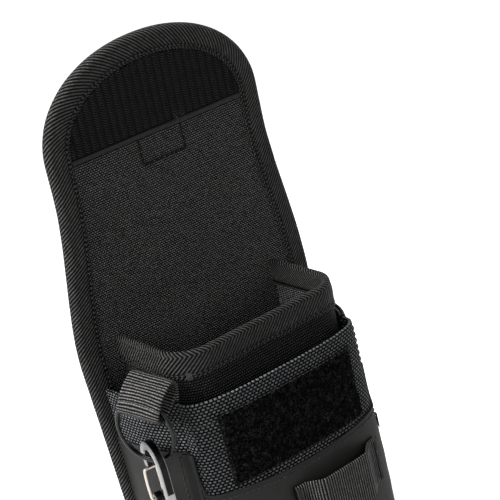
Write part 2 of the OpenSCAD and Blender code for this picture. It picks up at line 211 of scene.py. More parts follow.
def make(name, parts, finish, sharp=50, fields=None):
    """One mesh object from patches, in metres, with a UV map in millimetres."""
    mesh = bpy.data.meshes.new(name)
    starts = np.cumsum([0] + [len(p[0]) for p in parts])
    points = np.concatenate([p[0] for p in parts])
    corners = np.concatenate([(f + s).ravel() for p, s in zip(parts, starts) for f in p[1]])
    sizes = np.concatenate([np.full(len(f), f.shape[1]) for p in parts for f in p[1]])
    uvs = np.concatenate([t.reshape(-1, 2) for p in parts for t in p[2]])
    mesh.vertices.add(len(points))
    mesh.vertices.foreach_set("co", (points / 1000).astype(np.float32).ravel())
    mesh.loops.add(len(corners))
    mesh.loops.foreach_set("vertex_index", corners.astype(np.int32))
    mesh.polygons.add(len(sizes))
    mesh.polygons.foreach_set("loop_start", np.concatenate([[0], np.cumsum(sizes)[:-1]]).astype(np.int32))
    mesh.update(calc_edges=True)
    mesh.uv_layers.new(name="UVMap").data.foreach_set("uv", uvs.astype(np.float32).ravel())
    mesh.polygons.foreach_set("use_smooth", np.ones(len(sizes), bool))
    mesh.set_sharp_from_angle(angle=np.radians(sharp))
    for field, values in (fields or {}).items():
        mesh.attributes.new(field, "FLOAT", "POINT").data.foreach_set("value", values.astype(np.float32))
    mesh.materials.append(finish)
    mesh.validate()
    obj = bpy.data.objects.new(name, mesh)
    bpy.context.scene.collection.objects.link(obj)
    return obj


def sheet_part(outer, inner, uv=None):
    """A closed sheet between two grids of points, face to face."""
    points = np.concatenate([outer, inner[:, ::-1]], 1)
    both = None if uv is None else np.concatenate([uv, uv[:, ::-1]], 1)
    return part(points, wrap_v=True, cap="strip", uv=both)


def carried(path, side, up, profile, closed=False, cap="strip", origin=(0.0, 0.0), uv=None):
    """A profile of [side, up] points carried along a path with those axes."""
    points = (path[:, None] + profile[None, :, :1] * side[:, None]
              + profile[None, :, 1:2] * up[:, None])
    return part(points, wrap_u=closed, wrap_v=True, cap=None if closed else cap, origin=origin, uv=uv)


def round_profile(radius, sides=12):
    """A circle's points."""
    q = np.arange(sides) * 2 * np.pi / sides
    return radius * np.stack([np.cos(q), np.sin(q)], 1)


def tube(path, radius, sides=12, closed=False):
    """A round bar along a path; its axes turn as little as they can."""
    t = directions(path, closed)
    guide = np.eye(3)[np.argmin(np.abs(t).mean(0))]
    side = unit(guide - (t @ guide)[:, None] * t)
    up = np.cross(t, side)
    radius = np.broadcast_to(radius, (len(path),))
    ring = round_profile(1.0, sides)
    points = path[:, None] + radius[:, None, None] * (
        ring[None, :, :1] * side[:, None] + ring[None, :, 1:] * up[:, None])
    return part(points, wrap_u=closed, wrap_v=True, cap=None if closed else "fan")


def strap_profile(width, thick, count=15):
    """A strap's section, [across, through]: flat faces and rounded edges,
    with the points closer together near the edges."""
    q = np.linspace(-np.pi / 2, np.pi / 2, count)
    x = 0.5 * width * (0.75 * np.sin(q) + 0.25 * q / (np.pi / 2))
    near = np.clip((width / 2 - np.abs(x)) / (thick / 2), 0, 1)
    y = thick / 2 * np.sqrt(1 - (1 - near) ** 2) * 0.96 + 0.04 * thick / 2
    return np.concatenate([np.stack([x, y], 1), np.stack([x, -y], 1)[::-1]])


# ---------------------------------------------------------------- finishes

class Finish:
    """A material's node tree while it is being put together."""

    def __init__(self, name, rough=0.6, **sockets):
        self.material = bpy.data.materials.new(name)
        self.material.use_nodes = True
        self.tree = self.material.node_tree
        self.shader = self.tree.nodes["Principled BSDF"]
        self.shader.inputs["Roughness"].default_value = rough
        for socket, value in sockets.items():
            self.shader.inputs[socket.replace("_", " ")].default_value = value

    def put(self, socket, value):
        """Link a node's output to a socket, or set the socket's own value."""
        if isinstance(value, bpy.types.NodeSocket):
            self.tree.links.new(value, socket)
        else:
            socket.default_value = value

    def node(self, kind, inputs=(), **settings):
        """Add a node; inputs are by name or number."""
        n = self.tree.nodes.new("ShaderNode" + kind)
        for key, value in settings.items():
            setattr(n, key, value)
        for key, value in dict(inputs).items():
            self.put(n.inputs[key], value)
        return n

    def math(self, operation, a, b=0.0, c=None):
        """A Math node of two or three values."""
        n = self.node("Math", operation=operation)
        for k, value in enumerate((a, b) if c is None else (a, b, c)):
            self.put(n.inputs[k], value)
        return n.outputs[0]

    def uv(self):
        """The piece's own map, in millimetres: (along, across)."""
        n = self.node("SeparateXYZ", {0: self.node("UVMap", uv_map="UVMap").outputs[0]})
        return n.outputs[0], n.outputs[1]

    def place(self, scale=1000.0):
        """Object coordinates in millimetres."""
        n = self.node("Mapping", {"Vector": self.node("TexCoord").outputs["Object"],
                                  "Scale": (scale, scale, scale)})
        return n.outputs[0]

    def noise(self, vector, scale, detail=3.0, rough=0.55):
        """Noise from 0 to 1, its scale per millimetre."""
        return self.node("TexNoise", {"Vector": vector, "Scale": scale, "Detail": detail,
                                      "Roughness": rough}).outputs["Fac"]

    def wave(self, value, pitch):
        """Triangle wave from 0 to 1 of that pitch."""
        return self.math("PINGPONG", self.math("DIVIDE", value, pitch / 2), 1.0)

    def step(self, value, low, high):
        """0 below low, 1 above high, and smooth between."""
        n = self.node("MapRange", {0: value, 1: low, 2: high}, interpolation_type="SMOOTHSTEP")
        return n.outputs[0]

    def mix(self, amount, a, b):
        """Colour a at 0 and b at 1."""
        n = self.node("Mix", data_type="RGBA")
        self.put(n.inputs[0], amount)
        self.put(n.inputs[6], a)
        self.put(n.inputs[7], b)
        return n.outputs[2]

    def colour(self, value):
        """The surface's colour."""
        self.put(self.shader.inputs["Base Color"], value)

    def roughness(self, amount, low, high):
        """Roughness low where the amount is 0, high where it is 1."""
        self.put(self.shader.inputs["Roughness"], self.math("MULTIPLY_ADD", amount, high - low, low))

    def bump(self, height, depth, strength=1.0):
        """Relief of that depth in millimetres."""
        n = self.node("Bump", {"Height": height, "Strength": strength, "Distance": depth / 1000})
        self.put(self.shader.inputs["Normal"], n.outputs[0])


def grey(value, warm=0.0):
    """A near-neutral colour: warm above 0 is browner, below 0 is bluer."""
    return (value * (1 + warm), value, value * (1 - warm), 1.0)


def weave_height(f, across, up, dash, row, duty):
    """Floats of a basket weave: rows of rounded dashes, each row half a dash
    along from the one below."""
    above_zero = 4000.0
    rows = f.math("DIVIDE", up, row)
    odd = f.math("MULTIPLY", f.math("MODULO", f.math("FLOOR", f.math("ADD", rows, above_zero)), 2.0), 0.5)
    run = f.math("FRACT", f.math("ADD", f.math("DIVIDE", across, dash), odd))
    in_dash = f.step(f.math("ABSOLUTE", f.math("SUBTRACT", run, 0.5)), 0.5, duty)
    up_row = f.math("MULTIPLY", f.math("FRACT", f.math("ADD", rows, above_zero)), 2.0)
    in_row = f.math("PINGPONG", up_row, 1.0)
    return f.math("MULTIPLY", in_dash, in_row)


def fabric(name, dark, light, dash, row, depth, warm, duty, gloss, rough=(0.45, 0.8), patch=0.25):
    """Woven cloth: the floats carry painted highlight and the gaps painted shade, slow cloudy wear shifts the
    tone, and the attribute named crease adds painted shade along sewn lines."""
    f = Finish(name, Specular_IOR_Level=gloss)
    u, v = f.uv()
    wobble = f.math("MULTIPLY_ADD", f.noise(f.place(), 0.35), row * 0.5, -row * 0.25)
    height = weave_height(f, u, f.math("ADD", v, wobble), dash, row, duty)
    yarn = f.step(f.noise(f.place(), 0.8, 4.0, 0.7), 0.3, 0.7)
    cloud = f.noise(f.place(), 0.045, 4.0)
    # Painted highlight on the floats, painted shade in the gaps.
    tone = f.math("MULTIPLY", f.step(height, 0.2, 0.75), f.math("MULTIPLY_ADD", yarn, 0.9, 0.35))
    tone = f.math("MULTIPLY", tone, f.math("MULTIPLY_ADD", cloud, 2 * patch, 1 - patch))
    # Painted shade: the attribute named crease darkens the cloth along sewn lines and edges.
    crease = f.node("Attribute", attribute_name="crease").outputs["Fac"]
    tone = f.math("MULTIPLY", tone, f.math("MULTIPLY_ADD", crease, -0.85, 1.0))
    f.colour(f.mix(tone, grey(dark, warm), grey(light, warm)))
    f.roughness(height, rough[1], rough[0])
    f.bump(f.math("MULTIPLY_ADD", yarn, 0.3, height), depth)
    return f.material


def twill_tape(name, dark, light, pitch, depth, seam, apex=0.0):
    """Binding tape: diagonal ribs that change their slant at the apex, with painted highlight on the ribs and
    painted shade between them. Painted shade darkens the tape in the crease along its stitches, that far from
    its fold."""
    f = Finish(name, Specular_IOR_Level=0.07)
    u, v = f.uv()
    slant = f.math("ADD", u, f.math("MULTIPLY", f.math("ABSOLUTE", f.math("SUBTRACT", v, apex)), 0.95))
    slant = f.math("ADD", slant, f.math("MULTIPLY", f.noise(f.place(), 0.25), 0.5))
    rib = f.step(f.wave(slant, pitch), 0.25, 0.95)
    bead = f.wave(f.math("SUBTRACT", f.math("ABSOLUTE", v), u), 0.8)
    height = f.math("MULTIPLY", rib, f.math("MULTIPLY_ADD", bead, 0.3, 0.7))
    yarn = f.step(f.noise(f.place(), 0.7, 4.0, 0.7), 0.3, 0.7)
    cloud = f.noise(f.place(), 0.06, 3.0)
    # Painted highlight on the ribs, painted shade between them.
    tone = f.math("MULTIPLY", height, f.math("MULTIPLY_ADD", cloud, 0.8, 0.55))
    tone = f.math("MULTIPLY", tone, f.math("MULTIPLY_ADD", yarn, 0.7, 0.5))
    # Painted shade in the crease along the stitch line.
    away = f.math("ABSOLUTE", f.math("SUBTRACT", f.math("ABSOLUTE", v), seam))
    tone = f.math("MULTIPLY", tone, f.step(away, 0.2, 1.3))
    f.colour(f.mix(tone, grey(dark), grey(light, 0.02)))
    f.roughness(height, 0.72, 0.42)
    f.bump(f.math("MULTIPLY_ADD", yarn, 0.25, height), depth)
    return f.material


def ribbed_webbing(name, dark, light, rib_pitch, depth):
    """Webbing: ribs straight across, crossed by fine lengthwise ends; the ribs carry painted highlight and
    the gaps between them painted shade.
    """
    f = Finish(name, Specular_IOR_Level=0.08)
    u, v = f.uv()
    wobble = f.math("MULTIPLY_ADD", f.noise(f.place(), 0.3), 0.4, -0.2)
    rib = f.step(f.wave(f.math("ADD", u, wobble), rib_pitch), 0.3, 0.95)
    end = f.step(f.wave(v, 1.5), 0.0, 0.6)
    height = f.math("MULTIPLY", rib, f.math("MULTIPLY_ADD", end, 0.5, 0.5))
    yarn = f.step(f.noise(f.place(), 0.7, 4.0, 0.7), 0.3, 0.7)
    # Painted highlight on the ribs, painted shade in the gaps.
    tone = f.math("MULTIPLY", height, f.math("MULTIPLY_ADD", yarn, 0.7, 0.5))
    f.colour(f.mix(tone, grey(dark), grey(light, 0.02)))
    f.roughness(height, 0.7, 0.36)
    f.bump(f.math("MULTIPLY_ADD", yarn, 0.2, height), depth)
    return f.material


def coated_cloth(name, tone):
    """Smooth coated fabric: matt, faintly pebbled, with soft creases."""
    f = Finish(name, Specular_IOR_Level=0.16)
    spot = f.place()
    pebble = f.noise(spot, 1.1, 3.0)
    cloud = f.noise(spot, 0.05, 4.0)
    f.colour(f.mix(cloud, grey(tone * 0.75, 0.03), grey(tone * 1.3, 0.05)))
    f.roughness(pebble, 0.5, 0.68)
    f.bump(f.math("MULTIPLY_ADD", cloud, 2.0, pebble), 0.12)
    return f.material


def pile(name):
    """Loop pile: a tangle of curling hairs, each a thin line of painted sheen where a slow noise crosses its
    middle value, over black."""
    f = Finish(name, rough=0.9, Specular_IOR_Level=0.02)
    spot = f.place()
    curl = []
    for scale, shift in ((0.55, 0.0), (0.8, 7.3)):
        moved = f.node("Mapping", {"Vector": spot, "Location": (shift, shift, -shift)}).outputs[0]
        off = f.math("ABSOLUTE", f.math("SUBTRACT", f.noise(moved, scale, 1.5, 0.5), 0.5))
        curl.append(f.step(off, 0.055, 0.0))
    hair = f.math("MAXIMUM", *curl)
    clump = f.step(f.noise(spot, 0.35, 3.0, 0.6), 0.35, 0.7)
    # Painted sheen on the hairs.
    tone = f.math("MULTIPLY", hair, f.math("MULTIPLY_ADD", clump, 0.8, 0.2))
    f.colour(f.mix(tone, grey(0.0006), grey(0.085)))
    f.bump(hair, 0.6)
    return f.material


def moulded(name, dark, light, rough):
    """Moulded nylon with a little wear on what stands up."""
    f = Finish(name, Specular_IOR_Level=0.12)
    spot = f.place()
    speck = f.noise(spot, 1.6, 4.0, 0.6)
    f.colour(f.mix(speck, grey(dark), grey(light)))
    f.roughness(speck, rough, rough + 0.25)
    f.bump(speck, 0.1)
    return f.material


def hook_finish(name, dark, light):
    """Moulded hooks: slanted painted glints that mirror each other about every rib, with painted shade
    between the ribs.
    """
    f = Finish(name, Specular_IOR_Level=0.04)
    u, v = f.uv()
    off = f.wave(u, HOOK_PITCH)
    tooth = f.step(f.wave(f.math("MULTIPLY_ADD", off, 1.5, v), 1.3), 0.3, 0.95)
    # Painted shade between the ribs.
    rib = f.step(off, 0.1, 0.5)
    tone = f.math("MULTIPLY", tooth, f.math("MULTIPLY_ADD", rib, 0.6, 0.4))
    f.colour(f.mix(f.math("MULTIPLY", tone, f.noise(f.place(), 1.5)), grey(dark), grey(light)))
    f.roughness(tone, 0.75, 0.4)
    f.bump(tone, 0.3)
    return f.material


def thread_finish(name, dark, light):
    """Sewing thread: twisted plies, a soft gloss, and painted glints along the plies."""
    f = Finish(name, Specular_IOR_Level=0.1)
    u, v = f.uv()
    ply = f.wave(f.math("ADD", u, v), 0.5)
    # Painted glints on the plies.
    f.colour(f.mix(f.math("MULTIPLY", ply, f.noise(f.place(), 0.6)), grey(dark), grey(light)))
    f.roughness(ply, 0.6, 0.4)
    f.bump(ply, 0.08)
    return f.material


def metal(name, base, worn, rough, wear_scale, grain, attribute=None):
    """Metal with fine tumbling marks; where the attribute is 1 the darker
    finish is machined off and the bare metal shows."""
    f = Finish(name, Metallic=1.0, rough=rough)
    spot = f.place()
    mark = f.noise(spot, wear_scale, 5.0, 0.65)
    fine = f.noise(f.node("Mapping", {"Vector": spot, "Scale": (6.0, 6.0, 0.7)}).outputs[0], 1.0, 4.0)
    amount = f.step(mark, 0.62, 0.8)
    if attribute:
        bare = f.node("Attribute", attribute_name=attribute).outputs["Fac"]
        amount = f.math("MAXIMUM", amount, bare)
    f.colour(f.mix(amount, base, worn))
    f.roughness(fine, rough - 0.07, rough + 0.13)
    f.bump(fine, grain)
    return f.material


# The light end of each woven cloth below is painted highlight, and the dark end painted shade.
BALLISTIC = fabric("ballistic_weave", 0.0004, 0.30, 2.4, 1.55, 0.5, warm=-0.04, rough=(0.4, 0.85), gloss=0.05,
                   duty=0.14)
SHELL = fabric("back_shell_weave", 0.0005, 0.16, 2.4, 1.3, 0.35, warm=-0.02, duty=0.2, gloss=0.05)
LINING = fabric("lining_weave", 0.0005, 0.28, 1.5, 1.15, 0.35, warm=0.012, rough=(0.6, 0.9), patch=0.15,
                duty=0.25, gloss=0.03)
WALL = fabric("wall_mesh", 0.0004, 0.075, 1.4, 1.4, 0.35, warm=-0.03, duty=0.15, gloss=0.04)
# How far from a binding's fold its stitches run, along the tape.
EDGE_SEAM, RIM_SEAM = 12.7, 13.1
BINDING = twill_tape("binding_twill", 0.0004, 0.19, 2.1, 0.6, EDGE_SEAM)
RIM_BINDING = twill_tape("rim_binding_twill", 0.0004, 0.15, 2.1, 0.6, RIM_SEAM, apex=-3.5)
WEBBING = ribbed_webbing("ribbed_webbing", 0.0004, 0.34, 1.45, 0.5)
COATED = coated_cloth("coated_cloth", 0.017)
STRIP = coated_cloth("corner_strip_cloth", 0.006)
LOOP = pile("loop_pile")
HOOK = hook_finish("hook_nylon", 0.0002, 0.15)
# All three are the same black thread. THREAD and TACK_THREAD carry bright painted glints; DARK_THREAD has
# almost none, for stitches in the painted shade of the sewn box.
THREAD = thread_finish("black_thread", 0.004, 0.26)
DARK_THREAD = thread_finish("dark_thread", 0.0004, 0.02)
TACK_THREAD = thread_finish("tack_thread", 0.004, 0.25)
PIPING = moulded("coated_piping", 0.006, 0.04, 0.4)
BOARD = moulded("board_face", 0.006, 0.02, 0.55)
RING = metal("dark_nickel", grey(0.022), grey(0.16), 0.14, 0.4, 0.02)
ALLOY = metal("black_satin_alloy", grey(0.010), grey(0.27), 0.34, 0.9, 0.03, attribute="bare")
WIRE = metal("gate_wire_steel", (0.50, 0.46, 0.41, 1.0), (0.75, 0.72, 0.68, 1.0), 0.28, 0.5, 0.03)


# ---------------------------------------------------------------- stitches

def capsules(centre, along, normal, length, radius, lift, sink=0.0, sides=6):
    """Stitches: rods whose section shrinks to nothing at both ends and whose
    middle rises by the lift. t runs -1 to 1 along each rod."""
    t = np.array([-1.0, -0.8, -0.4, 0.0, 0.4, 0.8, 1.0])
    r = radius * np.sqrt(np.clip(1.02 - t ** 4, 0.02, 1))
    q = np.arange(sides) * 2 * np.pi / sides
    template = np.stack([
        np.broadcast_to((t * length / 2)[:, None], (len(t), sides)),
        r[:, None] * np.cos(q),
        r[:, None] * np.sin(q) + (lift * (1 - t * t) - sink)[:, None]], -1).reshape(-1, 3)
    side = np.cross(normal, along)
    points = (centre[:, None] + template[None, :, :1] * along[:, None]
              + template[None, :, 1:2] * side[:, None] + template[None, :, 2:] * normal[:, None])
    n, nt, k = len(centre), len(t), len(template)
    i, j = (g.ravel() for g in np.meshgrid(np.arange(nt - 1), np.arange(sides), indexing="ij"))
    quad = np.stack([i * sides + j, i * sides + (j + 1) % sides,
                     (i + 1) * sides + (j + 1) % sides, (i + 1) * sides + j], -1)[:, ::-1]
    ends = np.stack([np.arange(sides), (nt - 1) * sides + np.arange(sides)[::-1]])
    shift = (np.arange(n) * k)[:, None, None]
    quads = (quad[None] + shift).reshape(-1, 4)
    tips = (ends[None] + shift).reshape(-1, sides)
    flat_uv = np.tile(np.stack([np.repeat(t * length / 2, sides), np.tile(q * radius, nt)], -1), (n, 1))
    return points.reshape(-1, 3), [quads, tips], [flat_uv[quads], flat_uv[tips]]


def row_of(path, normal, pitch, length=None, radius=0.34, lift=0.3, sink=0.05):
    """A row of stitches, one pitch apart along a path, standing on normals."""
    far = arc_lengths(path)
    count = max(1, int(far[-1] / pitch))
    at = (np.arange(count) + 0.5) * far[-1] / count

    def pick(rows, where):
        return np.stack([np.interp(where, far, column) for column in rows.T], 1)
    half = (length or pitch * 0.78) / 2
    along = unit(pick(path, at + half) - pick(path, at - half))
    up = pick(normal, at)
    up = unit(up - (up * along).sum(1)[:, None] * along)
    return capsules(pick(path, at), along, up, 2 * half, radius, lift, sink)


def tack(centre, across, along, width, height, rows, radius=0.34, lift=0.3):
    """A bar tack: rods side by side over a core, across a seam."""
    across, along = unit(across), unit(along)
    normal = np.cross(across, along)
    k = (np.arange(rows) + 0.5) / rows - 0.5
    rng = np.random.default_rng(rows)
    uneven = rng.uniform(-0.15, 0.15, (rows, 1)) * width * 0.3
    centres = centre + k[:, None] * height * along + uneven * across
    turn = unit(across + rng.uniform(-0.12, 0.12, (rows, 1)) * along)
    up = np.tile(normal, (rows, 1))
    return capsules(centres, turn, up, width, radius, lift)


# ---------------------------------------------------------------- the panel's surface

S_TABLE = np.linspace(-152, 146, 597)
LEAN_TABLE = LEAN * smooth((S_TABLE + 4) / 8)
STEP_S = S_TABLE[1] - S_TABLE[0]
Y_TABLE = -np.cumsum(np.sin(LEAN_TABLE)) * STEP_S
Z_TABLE = np.cumsum(np.cos(LEAN_TABLE)) * STEP_S
Y_TABLE -= np.interp(-20, S_TABLE, Y_TABLE)
Z_TABLE -= np.interp(-20, S_TABLE, Z_TABLE) + 20


def place(x, s, d):
    """Point of the back panel and open lid: x across, s up from the fold,
    d behind the lining's face. Y and Z are sums of the lean's sine and
    cosine along s, and d is measured square to the lean."""
    x, s, d = np.broadcast_arrays(np.asarray(x, float), s, d)
    lean = np.interp(s, S_TABLE, LEAN_TABLE)
    return np.stack([x, BACK_Y + np.interp(s, S_TABLE, Y_TABLE) + d * np.cos(lean),
                     FOLD_Z + np.interp(s, S_TABLE, Z_TABLE) + d * np.sin(lean)], -1)


def half_width(s):
    """Half the panel's width at s: straight from foot to shoulder, an S curve
    to the waist, then a superellipse arch."""
    low = SHOULDER_HALF + (FOOT_HALF - SHOULDER_HALF) * (s - SHOULDER_S) / (FOOT_S - SHOULDER_S)
    high = SHOULDER_HALF - (SHOULDER_HALF - LID_HALF) * smooth((s - SHOULDER_S) / (WAIST_S - SHOULDER_S))
    risen = np.clip((s - ARCH_S) / (LID_LEN - ARCH_S), 0, 1)
    top = LID_HALF * np.clip(1 - risen ** ARCH_POWER, 0, 1) ** (1 / ARCH_POWER)
    return np.where(s < SHOULDER_S, low, np.where(s < ARCH_S, high, top))


def outline(low, high=None):
    """The panel's edge in (x, s): up the right side from low, and if high is
    None round the arch and down the left side to low again."""
    top = arch(np.linspace(0, np.pi, 361), LID_HALF, LID_LEN - ARCH_S, ARCH_POWER) + [0, ARCH_S]
    if low >= ARCH_S:
        return top
    s = np.linspace(low, ARCH_S if high is None else high, 240)
    right = np.stack([half_width(s), s], 1)
    if high is not None:
        return right
    return np.concatenate([right[:-1], top, (right * [-1, 1])[::-1][1:]])


def inset(path, by):
    """The path moved to its left by a distance."""
    t = directions(path)
    return path + by * np.stack([-t[:, 1], t[:, 0]], 1)


# Points this distance to either side of the lid's fold and of its cover's tip, in metres.
REACH = 6
FOLD_LOW, FOLD_HIGH = (place(0, by, 0) / 1000 for by in (-REACH, REACH))
TIP_LOW, TIP_HIGH = (place(0, COVER_LEN + by, 0) / 1000 for by in (-REACH, REACH))


def bend_lower(obj):
    """Cloth from the back panel to the middle of the lid's cover; only its transform is baked into its mesh.
    """
    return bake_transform(obj)


def bend_upper(obj):
    """Cloth from the middle of the lid's cover to the lid's tip; only its transform is baked into its mesh.
    """
    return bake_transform(obj)


def settle(obj, body, slot, *nodes):
    """The piece rides on a body, or has its transform baked into its mesh by one of the functions above; the
    slot is not used, and the piece stands for the nodes."""
    if callable(body):
        body(obj)
    else:
        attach(obj, body)
    if nodes:
        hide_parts(*nodes)
    return obj


def panel_grid(low, high, depth, swell, seed, rows):
    """Points of one face of the padded panel between two heights: x is a share
    of the half width, and the face swells away from its edges."""
    s = np.linspace(low, high, rows)[:, None]
    share = np.linspace(-1, 1, 97)[None]
    wide = np.where(s > ARCH_S, half_width(np.minimum(s, LID_LEN)) - 2.5, half_width(s) - 0.6)
    x = share * np.maximum(wide, 4)
    s = s + 0 * x
    room = np.clip((1 - np.abs(share)) * wide / 16, 0, 1)
    puff = swell * smooth(room) + 0.22 * ripple(x, s, seed, 34) * smooth(room)
    return x, s, depth + np.sign(depth - SANDWICH / 2) * puff


def sewn_box(x, s):
    """1 on the box of stitches that holds the pull tab, 0 a little way off."""
    beyond = np.clip(BOX_LOW - s, 0, None) + np.clip(s - ARCH_S, 0, None)
    side = np.maximum(np.abs(np.abs(x) - BOX_HALF), beyond)
    low = np.maximum(np.abs(s - BOX_LOW), np.clip(np.abs(x) - BOX_HALF, 0, None))
    return 1 - smooth((np.minimum(side, low) - 0.3) / 1.0)


def padded_piece(name, low, high, rows, near, far, near_swell, far_swell, seed, finish):
    """A padded panel between two depths: the lining's face sinks along the sewn box, and painted shade, kept
    in the attribute named crease, darkens the box and the edges."""
    x, s, front = panel_grid(low, high, near, near_swell, seed, rows)
    _, _, back = panel_grid(low, high, far, far_swell, seed + 1, rows)
    sewn = sewn_box(x, s)
    front = front + 0.4 * sewn * (near == 0)
    # Painted shade along the panel's edges and under the hook panel's lower edge, and on the sewn box.
    edge = smooth((np.abs(x) - np.abs(x).max(1, keepdims=True) + 2.2) / 1.6) * 0.8
    edge = np.maximum(edge, smooth((s - ARCH_S + 4.0) / 2.0) * (near == 0))
    field = np.maximum(0.6 * sewn, edge)
    uv = np.stack([x, s], -1)
    return make(name, [sheet_part(place(x, s, front), place(x, s, back), uv)], finish,
                fields={"crease": np.concatenate([field, 0 * field], 1).ravel()})


PAD = dict(near=0.0, far=3.6, near_swell=0.35, far_swell=0.0, seed=3, finish=LINING)
BACKING = dict(near=3.75, far=4.8, near_swell=0.0, far_swell=0.6, seed=11, finish=SHELL)
for name, upper, layer, slot, nodes in (
        ("back_lining_pad", False, PAD, "lining",
         ("back_lining", "back_foam", "lid_cover_lining", "lid_cover_foam")),
        ("lid_lining_pad", True, PAD, "lining", ("lid_tip_lining", "lid_tip_foam")),
        ("back_shell", False, BACKING, "shell", ("back_outer", "lid_cover_outer")),
        ("lid_shell", True, BACKING, "shell", ("lid_tip_outer",))):
    low, high, rows, bend = (MID_S, PANEL_END, 90, bend_upper) if upper else (FOOT_S, MID_S, 160, bend_lower)
    settle(padded_piece(name, low, high, rows, **layer), bend, slot, *nodes)


# ---------------------------------------------------------------- binding of panel and lid

def fold_profile(width, body, gap, thick, puff, dip_at, count=14, turns=15):
    """Section of tape folded over an edge, as [inward, depth] points: a face,
    a half circle and the other face, then the same inside it. The faces swell
    by puff and dip at the stitch line."""
    mid, outer = body / 2, body / 2 + gap + thick
    centre = outer - gap - thick
    o = np.linspace(width, centre, count, endpoint=False)
    share = (width - o) / (width - centre)
    swell = puff * np.sin(np.pi * np.clip(share * 1.02, 0, 1)) ** 0.8
    dip = 0.38 * np.exp(-((o - dip_at) / 0.75) ** 2)
    edge = 0.22 * np.clip(1 - (width - o) / 0.9, 0, 1) ** 2
    face = np.stack([o, mid - outer - swell + dip + edge], 1)
    q = np.linspace(-np.pi / 2, -3 * np.pi / 2, turns)
    arc = np.stack([centre + outer * np.cos(q), mid + outer * np.sin(q)], 1)
    outside = np.concatenate([face, arc, (face * [1, -1] + [0, body])[::-1]])
    inner = outer - thick * 0.9
    inside_face = np.stack([o, np.full(count, mid - inner)], 1)
    inside_arc = np.stack([centre + inner * np.cos(q), mid + inner * np.sin(q)], 1)
    inside = np.concatenate([inside_face, inside_arc, (inside_face * [1, -1] + [0, body])[::-1]])
    return np.concatenate([outside, inside[::-1]]), arc_lengths(outside)[-1] / 2


# The binding's stitches run this far in from the panel's edge.
STITCH_IN = 9.6
EDGE_PROFILE, EDGE_FOLD = fold_profile(11.5, SANDWICH, 0.1, 1.0, 0.35, STITCH_IN)


def edge_tape(name, path, seed, start=0.0):
    """The fold section carried round the panel's edge."""
    path = resampled(path, 1.1)
    t = directions(path)
    inward = np.stack([-t[:, 1], t[:, 0]], 1)
    far = arc_lengths(path)[:, None] + start
    o, d = EDGE_PROFILE[None, :, 0], EDGE_PROFILE[None, :, 1]
    loose = smooth((o - 6) / 5)
    o = o + loose * (0.18 * np.sin(far * 2 * np.pi / 3.1) + 0.35 * ripple(far, 0, seed, 40))
    d = d + (0.16 * ripple(far, o, seed + 1, 22)) * np.sign(d - SANDWICH / 2)
    x = path[:, :1] + o * inward[:, :1]
    s = path[:, 1:] + o * inward[:, 1:]
    return make(name, [part(place(x, s, d), wrap_v=True, cap="strip", origin=(start, -EDGE_FOLD))], BINDING)


right_path = outline(FOOT_S, MID_S)
left_path = (right_path * [-1, 1])[::-1]
right_run = arc_lengths(right_path)[-1]
upper_path = outline(MID_S)
upper_run = arc_lengths(upper_path)[-1]
tape_right = edge_tape("back_binding_right", right_path, 21)
tape_upper = edge_tape("lid_binding", upper_path, 21, right_run)
tape_left = edge_tape("back_binding_left", left_path, 21, right_run + upper_run)
for obj, node, bend in ((tape_right, "back_binding", bend_lower),
                        (tape_left, "lid_cover_binding", bend_lower),
                        (tape_upper, "lid_tip_binding", bend_upper)):
    settle(obj, bend, "binding", node)


def panel_normal(points, sign):
    """Unit vectors square to the panel's face, towards the front for -1."""
    lean = np.interp(points[:, 1], S_TABLE, LEAN_TABLE)
    return sign * np.stack([0 * lean, np.cos(lean), np.sin(lean)], 1)


def panel_row(path, depth, sign, pitch=3.1, **sizes):
    """Stitches on the panel along a path in (x, s)."""
    path = resampled(path, 0.8)
    return row_of(place(path[:, 0], path[:, 1], depth), panel_normal(path, sign), pitch, **sizes)


FRONT_THREAD, BACK_THREAD = -1.1, SANDWICH + 1.1
for name, path, bend in (("back_binding_stitches_right", right_path, bend_lower),
                         ("back_binding_stitches_left", left_path, bend_lower),
                         ("lid_binding_stitches", upper_path, bend_upper)):
    rows = [panel_row(inset(path, STITCH_IN), depth, sign, 2.5, length=1.5, radius=0.42)
            for depth, sign in ((FRONT_THREAD, -1), (BACK_THREAD, 1))]
    settle(make(name, rows, THREAD), bend, "thread")


# ---------------------------------------------------------------- hook panel and the box under it

HOOK_HALF, HOOK_MARGIN = 50.1, 11.6


def hook_field():
    """The hook panel. Across it run ribs, a triangle wave of x raised to about
    a half power. Up it runs a second triangle wave, shifted by the first, so
    its teeth slant one way on one side of a rib and the other way beyond it."""
    top = inset(outline(ARCH_S), HOOK_MARGIN)
    top = top[np.argsort(top[:, 0])]
    x = np.linspace(-HOOK_HALF, HOOK_HALF, 421)
    high = np.interp(x, top[:, 0], top[:, 1])
    rows = np.linspace(0, 1, 112)[:, None]
    s = ARCH_S + 0.1 + rows * (high - ARCH_S - 0.3)[None]
    x = x[None] + 0 * s
    off = np.abs(np.mod(x / HOOK_PITCH, 1) - 0.5) * 2
    rib = np.clip(1.15 - off, 0, 1) ** 0.55
    tooth = np.abs(np.mod((s + off * 1.7) / 1.15, 1) - 0.5) * 2
    inside = np.clip(rows / 0.02, 0, 1) * np.clip((1 - rows) / 0.02, 0, 1)
    inside = inside * np.clip((HOOK_HALF - np.abs(x)) / 0.8, 0, 1)
    height = 0.15 + inside * (0.35 + rib * (0.55 + 0.75 * tooth))
    return sheet_part(place(x, s, -height), place(x, s, 0 * x - 0.02), np.stack([x, s], -1))


